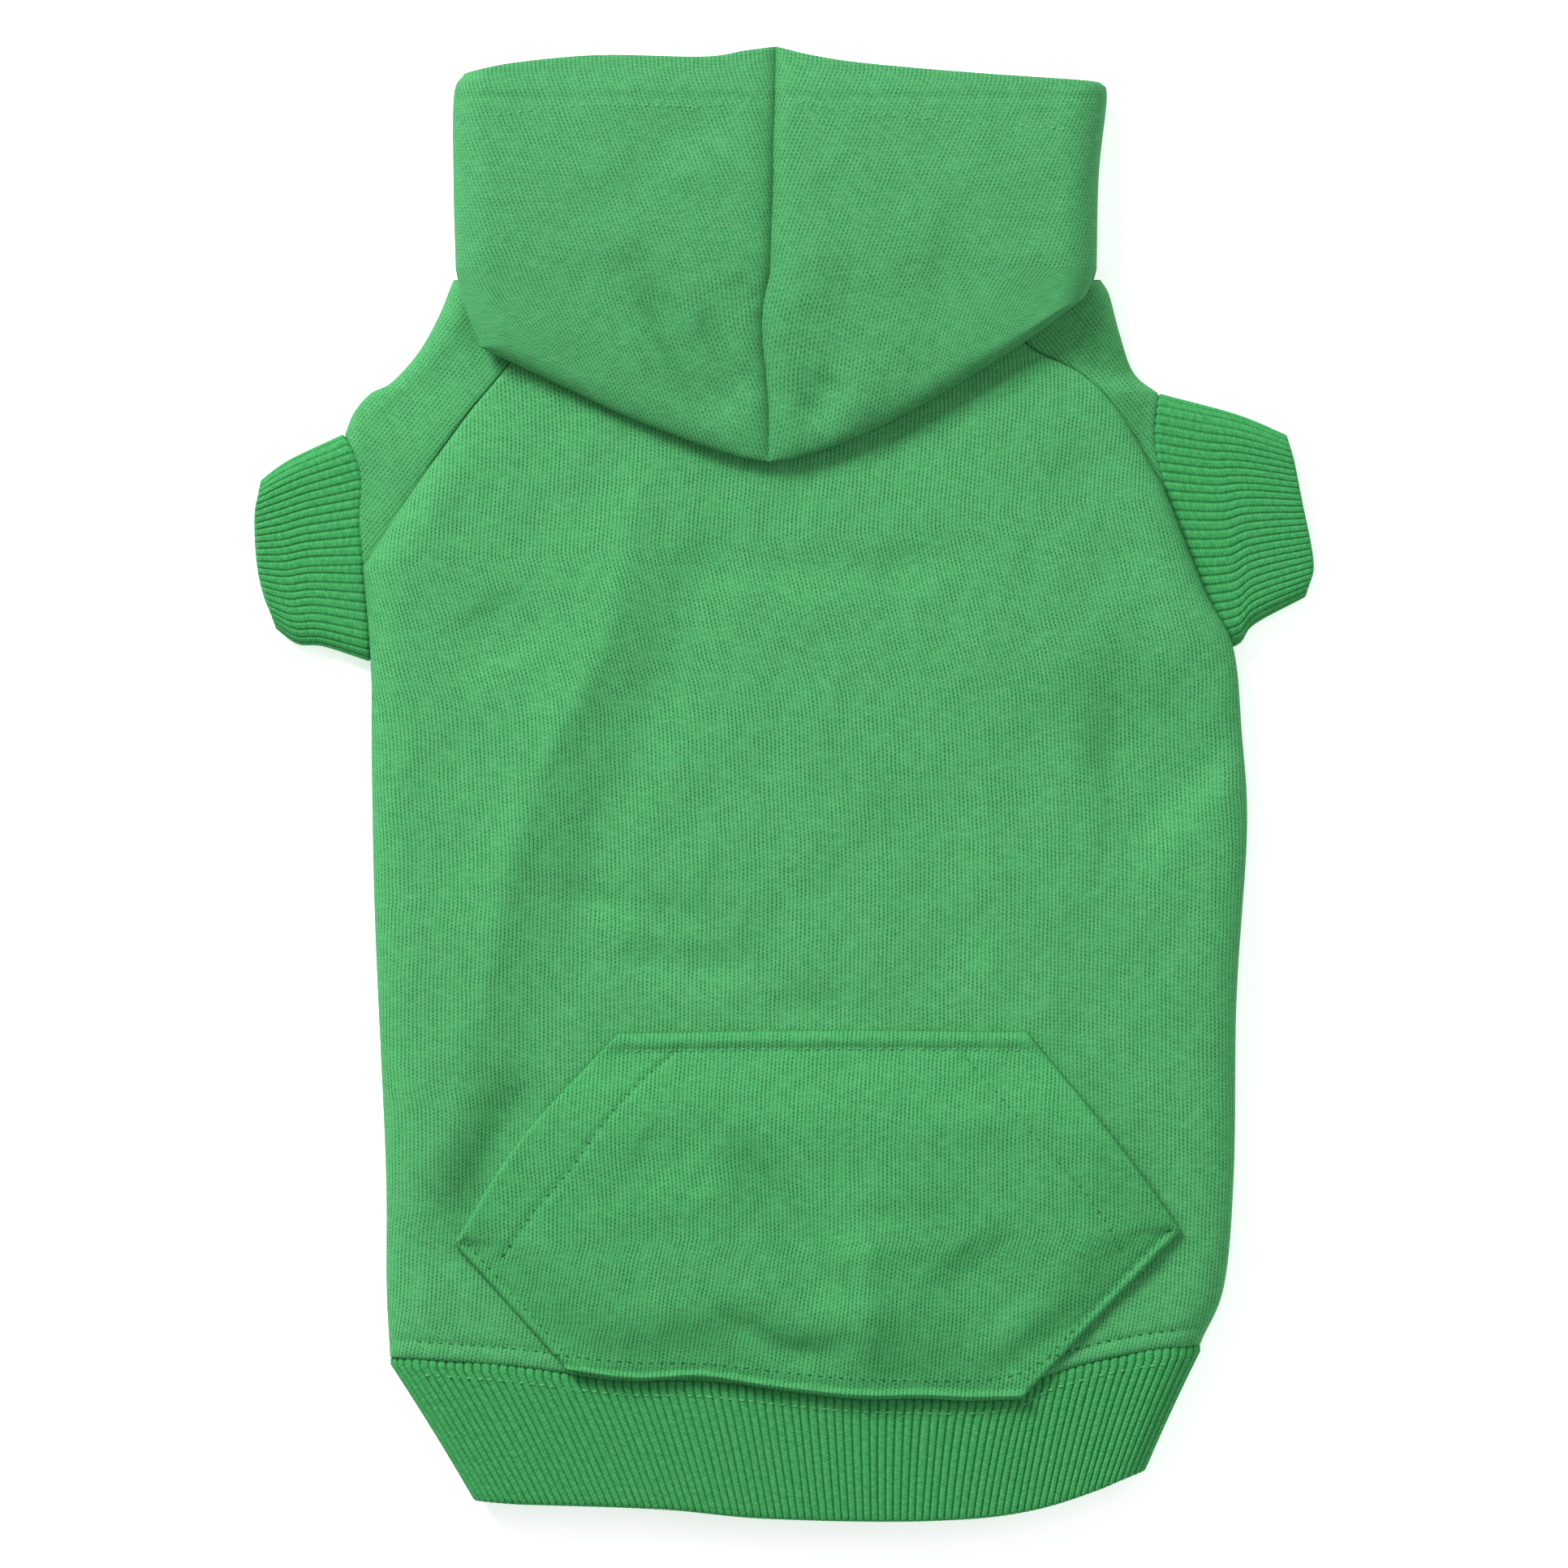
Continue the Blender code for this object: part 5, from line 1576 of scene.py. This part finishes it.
@dataclass
class Pocket(Panel):
    """The pouch pocket, sewn down all round but for its two slanted hand openings."""

    corner_share: float = 6 / 13
    seed: int = 31
    unevenness: float = 0.0002
    low_steps: int = 42
    mouth_steps: int = 54
    columns: int = 150
    edge_depth: float = 0.0019
    edge_reach: float = 0.0017
    head_stitch: float = 0.0055
    seam_stitch: float = 0.0030
    stitch_reach: float = 0.0008
    stitch_depth: float = 0.0006
    strip_reach: float = 0.0012
    strip_rise: float = 0.0005
    edge_puff: float = 0.0010
    puff_reach: float = 0.0020
    bead_rise: float = 0.0011
    bead_groove: float = 0.0006
    bead_place: float = 0.0014
    groove_place: float = 0.00322
    bead_reach: float = 0.0007
    cut: tuple[float, float] = (0.217, 0.110)
    cut_area: float = 0.0180
    folds: tuple[Fold, ...] = (
        Fold(drawn((-0.104, 0.209), (-0.063, 0.168), (-0.033, 0.132), (0.014, 0.066),
                   (0.041, 0.022)), 0.0064, 0.0036),
        Fold(drawn((-0.200, 0.200), (-0.165, 0.184), (-0.140, 0.165)), 0.0100, 0.0014),
        Fold(drawn((0.060, 0.136), (0.068, 0.053), (0.060, -0.024)), 0.0130, -0.0040, True),
        Fold(drawn((0.164, 0.104), (0.244, 0.017)), 0.0140, 0.0036),
        Fold(drawn((-0.113, 0.049), (-0.068, 0.022), (-0.015, 0.002), (0.039, 0.005)),
             0.0040, 0.0018),
        Fold(drawn((-0.130, 0.160), (-0.080, 0.110)), 0.0080, -0.0010),
    )

    def stitch_lines(self) -> dict[str, PlanCurve]:
        """The curves that the pocket's stitching follows, by name."""
        size = self.pattern
        inset = self.seam_stitch
        return {
            "pocket_head": size.pocket(POCKET_HEAD).moved(0.0, -self.head_stitch).part(0.01, 0.99),
            "mouth_left": size.pocket(LEFT_MOUTH_STITCH),
            "mouth_right": size.pocket(RIGHT_MOUTH_STITCH),
            "seam_left": size.pocket(POCKET_LEFT_SEAM).beside(-inset).part(0.03, 0.97),
            "seam_right": size.pocket(POCKET_RIGHT_SEAM).beside(inset).part(0.06, 0.99),
        }

    def strips(self) -> list[Line]:
        """The turned edges that puff up between the pocket's edge and its stitches."""
        size = self.pattern
        inset = self.seam_stitch / 2
        return [
            Line(size.pocket(marks).beside(side * inset), self.strip_reach, -self.strip_rise)
            for marks, side in ((POCKET_LEFT_SEAM, -1), (POCKET_RIGHT_SEAM, 1))
        ]

    def build(self) -> bpy.types.Object:
        """Make the pocket.

        Returns:
            The dressed piece.
        """
        size = self.pattern
        base, head = size.pocket(POCKET_BASE), size.pocket(POCKET_HEAD)
        low = spread(1.0, POCKET_LOW_EDGE, (0.0,), self.low_steps)[0]
        high = spread(1.0, (0.0,), POCKET_HEAD_EDGE, self.mouth_steps)[0][1:]
        edges = [
            np.vstack((size.pocket(seam).at(low), size.pocket(mouth).at(high)))
            for seam, mouth in (
                (POCKET_LEFT_SEAM, POCKET_LEFT_MOUTH), (POCKET_RIGHT_SEAM, POCKET_RIGHT_MOUTH)
            )
        ]
        split = self.corner_share
        shares = np.concatenate((low * split, split + high * (1 - split)))
        opened = np.concatenate((low * 0, high))
        plan, *from_sides = ruled(
            edges, (base, head), shares, (CREASE_EDGE, CREASE_EDGE), self.columns
        )
        from_side = np.minimum(*from_sides)
        mouth = np.sqrt(np.clip(np.sin(math.pi * opened), 0.0, 1.0))[:, None]
        reach = np.minimum(shares, 1 - shares)[:, None] * size.pocket_height / size.pocket_ramp
        inward = ease(from_side / size.pocket_ramp)
        rise = size.pocket_loft * ease(reach) * (mouth + (1 - mouth) * inward)
        lines = [
            Line(curve, self.stitch_reach, self.stitch_depth) for curve in self.stitch_lines().values()
        ]
        lines += self.strips()
        relief = Relief(self.folds, size.body_point, self.seed, self.unevenness, lines)
        press = relief.drop(plan)
        seat = size.body_height + size.layer_gap + size.fleece_wall
        height = seat + np.maximum(0.0, rise - press)
        ends = np.minimum(shares, 1 - shares)[:, None] * size.pocket_height
        height -= pulled_in(np.minimum(from_side, ends), self.edge_depth, self.edge_reach)
        from_head = (1 - shares)[:, None] * size.pocket_height
        height += self.edge_puff * bell(from_head - self.head_stitch / 2, self.puff_reach)
        from_base = shares[:, None] * size.pocket_height
        height += self.bead_rise * bell(from_base - self.bead_place, self.bead_reach)
        height -= self.bead_groove * bell(from_base - self.groove_place, self.bead_reach)
        points = raised(plan, height)
        cloth = ClothMesh("dressed_pocket")
        cloth.add(points, knit_grid(points))
        piece = self.finished(cloth, size.fleece_wall, Dye.POCKET, Slot.POCKET, "pocket")
        return piece


class Look(Enum):
    """How a row of stitches shows: thread lying on the cloth, or pulled into it and drawn dark as
    painted shade.
    """

    RAISED = 0.00012
    SUNK = -0.00008


@dataclass
class Stitching:
    """Rows of topstitching that follow the cloth below them."""

    dresser: Dresser
    surface: BVHTree
    pitch: float = 0.0031
    thread: float = 0.00034
    sides: int = 6
    rings: int = 5
    unevenness: float = 0.05
    sag: float = 0.5
    flatness: float = 0.7
    tip: float = 2e-5
    probe_height: float = 0.2
    light: ThreadFinish = ThreadFinish(
        "seam_thread", (0.115, 0.420, 0.170, 1.0), (0.070, 0.320, 0.115, 1.0)
    )
    # Painted shade: sunken rows are drawn in a dark thread that stands for the shade where the stitches
    # pull into the cloth.
    dark: ThreadFinish = ThreadFinish(
        "sunken_thread_painted_shade", (0.026, 0.165, 0.050, 1.0), (0.014, 0.105, 0.030, 1.0)
    )

    def height(self, spot: Array) -> float:
        """The height of the cloth under a plan point."""
        above = Vector((spot[0], spot[1], self.probe_height))
        hit = self.surface.ray_cast(above, Vector((0.0, 0.0, -1.0)))
        return hit[0].z if hit[0] else 0.0

    def row(self, name: str, path: PlanCurve, look: Look, slot: Slot, share: float = 0.62,
            seed: int = 1) -> bpy.types.Object:
        """Sew one row.

        Args:
            name: The piece's name.
            path: The curve that the row follows.
            look: How the stitches show.
            slot: The record's material slot; not used.
            share: The part of the pitch that a stitch covers.
            seed: Which unevenness the row has.

        Returns:
            The row of stitches as one piece.
        """
        chance = np.random.default_rng(seed)
        count = max(2, int(path.length / self.pitch))
        turns = np.arange(self.sides) * 2 * math.pi / self.sides
        rounds = np.linspace(-1.0, 1.0, self.rings)
        points = []
        faces = []
        for number in range(count):
            middle = (number + 0.5 + chance.normal(0.0, self.unevenness)) / count
            reach = self.pitch * (share + chance.normal(0.0, self.unevenness)) / 2 / path.length
            spots = path.at(np.clip([middle - reach, middle, middle + reach], 0.0, 1.0))
            heights = [self.height(spot) for spot in spots]
            ends = [np.array((spot[0], spot[1], z)) for spot, z in zip(spots, heights)]
            run = (ends[2] - ends[0]) / 2
            half = float(np.linalg.norm(run))
            along = run / half
            side = np.cross((0.0, 0.0, 1.0), along)
            side /= np.linalg.norm(side)
            up = np.cross(along, side)
            base = len(points)
            for place in rounds:
                width = self.thread * math.sqrt(max(0.0, 1 - place ** 4)) + self.tip
                lift = look.value - self.sag * self.thread * place ** 2
                centre = ends[1] + run * place + up * lift
                points += [
                    centre + side * math.cos(turn) * width + up * math.sin(turn) * width * self.flatness
                    for turn in turns
                ]
            for ring in range(self.rings - 1):
                first = base + ring * self.sides
                for step in range(self.sides):
                    follow = (step + 1) % self.sides
                    faces.append((
                        first + step, first + follow,
                        first + self.sides + follow, first + self.sides + step,
                    ))
            last = base + (self.rings - 1) * self.sides
            faces.append(tuple(range(base + self.sides - 1, base - 1, -1)))
            faces.append(tuple(range(last, last + self.sides)))
        mesh = bpy.data.meshes.new(name)
        mesh.from_pydata([tuple(point) for point in points], [], faces)
        shell = bmesh.new()
        shell.from_mesh(mesh)
        bmesh.ops.recalc_face_normals(shell, faces=shell.faces)
        shell.to_mesh(mesh)
        shell.free()
        mesh.shade_smooth()
        piece = linked(name, mesh)
        # Sunken rows take the dark thread, painted shade of the pulled-in stitches.
        self.dresser.dress(piece, self.light if look is Look.RAISED else self.dark)
        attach(piece, "root")
        logger.info("%s: %d stitches", name, count)
        return piece


def surface_of(pieces: Sequence[bpy.types.Object]) -> BVHTree:
    """One tree over the faces of several pieces, for finding the cloth under a point."""
    points = []
    faces = []
    for piece in pieces:
        first = len(points)
        points += [vertex.co.copy() for vertex in piece.data.vertices]
        faces += [[first + index for index in face.vertices] for face in piece.data.polygons]
    return BVHTree.FromPolygons(points, faces)


class Lamp(NamedTuple):
    """A soft square lamp that shines at the garment."""

    name: str
    place: tuple[float, float, float]
    size: float
    power: float


@dataclass
class Studio:
    """A pale floor, soft light from the upper left and the camera straight above."""

    view_width: float = 0.46368
    view_height: float = 4.0
    view_plane: float = 0.0140
    sensor: float = 36.0
    floor_size: float = 6.0
    room_colour: Colour = (0.97, 0.985, 1.0, 1.0)
    room_strength: float = 0.44
    lamps: tuple[Lamp, ...] = (
        Lamp("window", (-1.35, 1.75, 1.75), 0.9, 92.0),
        Lamp("fill", (1.4, 0.4, 2.2), 1.8, 11.0),
    )

    def build(self) -> None:
        """Make the floor, the lights and the camera."""
        self._floor()
        self._lights()
        self._camera()

    def _floor(self) -> None:
        """Lay the floor."""
        bpy.ops.object.select_all(action="DESELECT")
        bpy.ops.mesh.primitive_plane_add(size=self.floor_size)
        floor = bpy.context.active_object
        floor.name = "floor"
        floor.data.materials.append(FloorFinish().material())

    def _lights(self) -> None:
        """Hang the soft lights and brighten the room."""
        room = bpy.data.worlds.new("room")
        bpy.context.scene.world = room
        room.use_nodes = True
        sky = room.node_tree.nodes["Background"].inputs
        sky["Color"].default_value = self.room_colour
        sky["Strength"].default_value = self.room_strength
        for name, place, size, power in self.lamps:
            lamp = bpy.data.lights.new(name, "AREA")
            lamp.shape = "SQUARE"
            lamp.size = size
            lamp.energy = power
            stand = linked(name, lamp)
            stand.location = place
            stand.rotation_euler = (-Vector(place)).to_track_quat("-Z", "Y").to_euler()

    def _camera(self) -> None:
        """Set the camera straight above, with its top towards the hood."""
        lens = bpy.data.cameras.new("camera")
        lens.sensor_width = self.sensor
        lens.sensor_fit = "HORIZONTAL"
        lens.lens = self.sensor * (self.view_height - self.view_plane) / self.view_width
        lens.clip_end = 20.0
        camera = linked("camera", lens)
        camera.location = (0.0, 0.0, self.view_height)
        bpy.context.scene.camera = camera
        bpy.context.scene.view_settings.view_transform = "Standard"


def measured_shift() -> tuple[float, float]:
    """How far the frame lies from the pattern's own origin, from the pocket's solid."""
    plain = Pattern()
    low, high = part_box("pocket")
    across = (plain.pocket_point(Mark(-0.5, 0.0)) + plain.pocket_point(Mark(0.5, 0.0))) / 2
    along = (plain.pocket_point(Mark(0.0, -0.010)) + plain.pocket_point(Mark(0.0, 1.008))) / 2
    return (
        float((low[0] + high[0]) / 2 - across[0]),
        float((low[1] + high[1]) / 2 - along[1]),
    )


def main() -> None:
    """Build the hoodie and report each piece."""
    logging.basicConfig(level=logging.INFO)
    Studio().build()
    pattern = Pattern(shift=measured_shift())
    dresser = Dresser()
    logger.info("the frame lies %s from the pattern", pattern.shift)
    left_hole = Armhole(pattern, LEFT_RAGLAN, LEFT_UNDERARM, 1)
    right_hole = Armhole(pattern, RIGHT_RAGLAN, RIGHT_UNDERARM, -1)
    left_cuff = (LEFT_CUFF_TOP, LEFT_CUFF_END, LEFT_CUFF_UNDER)
    right_cuff = (RIGHT_CUFF_TOP, RIGHT_CUFF_END, RIGHT_CUFF_UNDER)
    BellyPanel(pattern, dresser).build()
    back = BackPanel(pattern, dresser).build()
    pieces = [back]
    Sleeve(pattern, dresser, "dressed_sleeve_left", "sleeve_left", -1, left_hole, LEFT_SHOULDER,
           LEFT_CUFF_SEAM, 0.47, cut=(0.130, 0.060), cut_area=0.0050).build()
    Sleeve(pattern, dresser, "dressed_sleeve_right", "sleeve_right", 1, right_hole, RIGHT_SHOULDER,
           RIGHT_CUFF_SEAM, 0.36, cut=(0.110, 0.048), cut_area=0.0033).build()
    pieces.append(Cuff(
        pattern, dresser, "dressed_cuff_left", "cuff_left", 52, sign=-1, cuff_seam=LEFT_CUFF_SEAM,
        outlines=left_cuff, cut=(0.140, 0.036), cut_area=0.0046,
    ).build())
    pieces.append(Cuff(
        pattern, dresser, "dressed_cuff_right", "cuff_right", 58, sign=1, cuff_seam=RIGHT_CUFF_SEAM,
        outlines=right_cuff, cut=(0.160, 0.044), cut_area=0.0060,
    ).build())
    pieces.append(HemBand(pattern, dresser, "dressed_band", "hem_band", 192).build())
    pieces.append(HoodHalf(
        pattern, dresser, "dressed_hood_left", "hood_left", -1, LEFT_FACE_HEM, LEFT_HOOD_SIDE,
        LEFT_HOOD_FALL, LEFT_HOOD_LOW, LEFT_NECKLINE,
    ).build())
    pieces.append(HoodHalf(
        pattern, dresser, "dressed_hood_right", "hood_right", 1, RIGHT_FACE_HEM, RIGHT_HOOD_SIDE,
        RIGHT_HOOD_FALL, RIGHT_HOOD_LOW, RIGHT_NECKLINE,
    ).build())
    pocket = Pocket(pattern, dresser)
    pieces.append(pocket.build())
    stitching = Stitching(dresser, surface_of(pieces))
    hem = pattern.body(HEM_SEAM)
    path = hem.moved(0.0, pattern.hem_stitch).part(0.03, 0.97)
    stitching.row("hem_stitches", path, Look.SUNK, Slot.BODY, seed=1)
    path = hem.moved(0.0, -pattern.band_stitch).part(0.04, 0.96)
    stitching.row("band_stitches", path, Look.RAISED, Slot.RIB, seed=2)
    for number, (name, path) in enumerate(pocket.stitch_lines().items()):
        look = Look.RAISED if name == "pocket_head" else Look.SUNK
        stitching.row(f"{name}_stitches", path, look, Slot.POCKET, share=0.42, seed=10 + number)
    for side, marks in (("left", LEFT_FACE_HEM), ("right", RIGHT_FACE_HEM)):
        path = pattern.hood(marks).moved(0.0, -HoodHalf.hem_stitch).part(0.03, 0.90)
        stitching.row(f"face_hem_{side}_stitches", path, Look.RAISED, Slot.HOOD, share=0.40, seed=20)


if __name__ == "__main__":
    main()
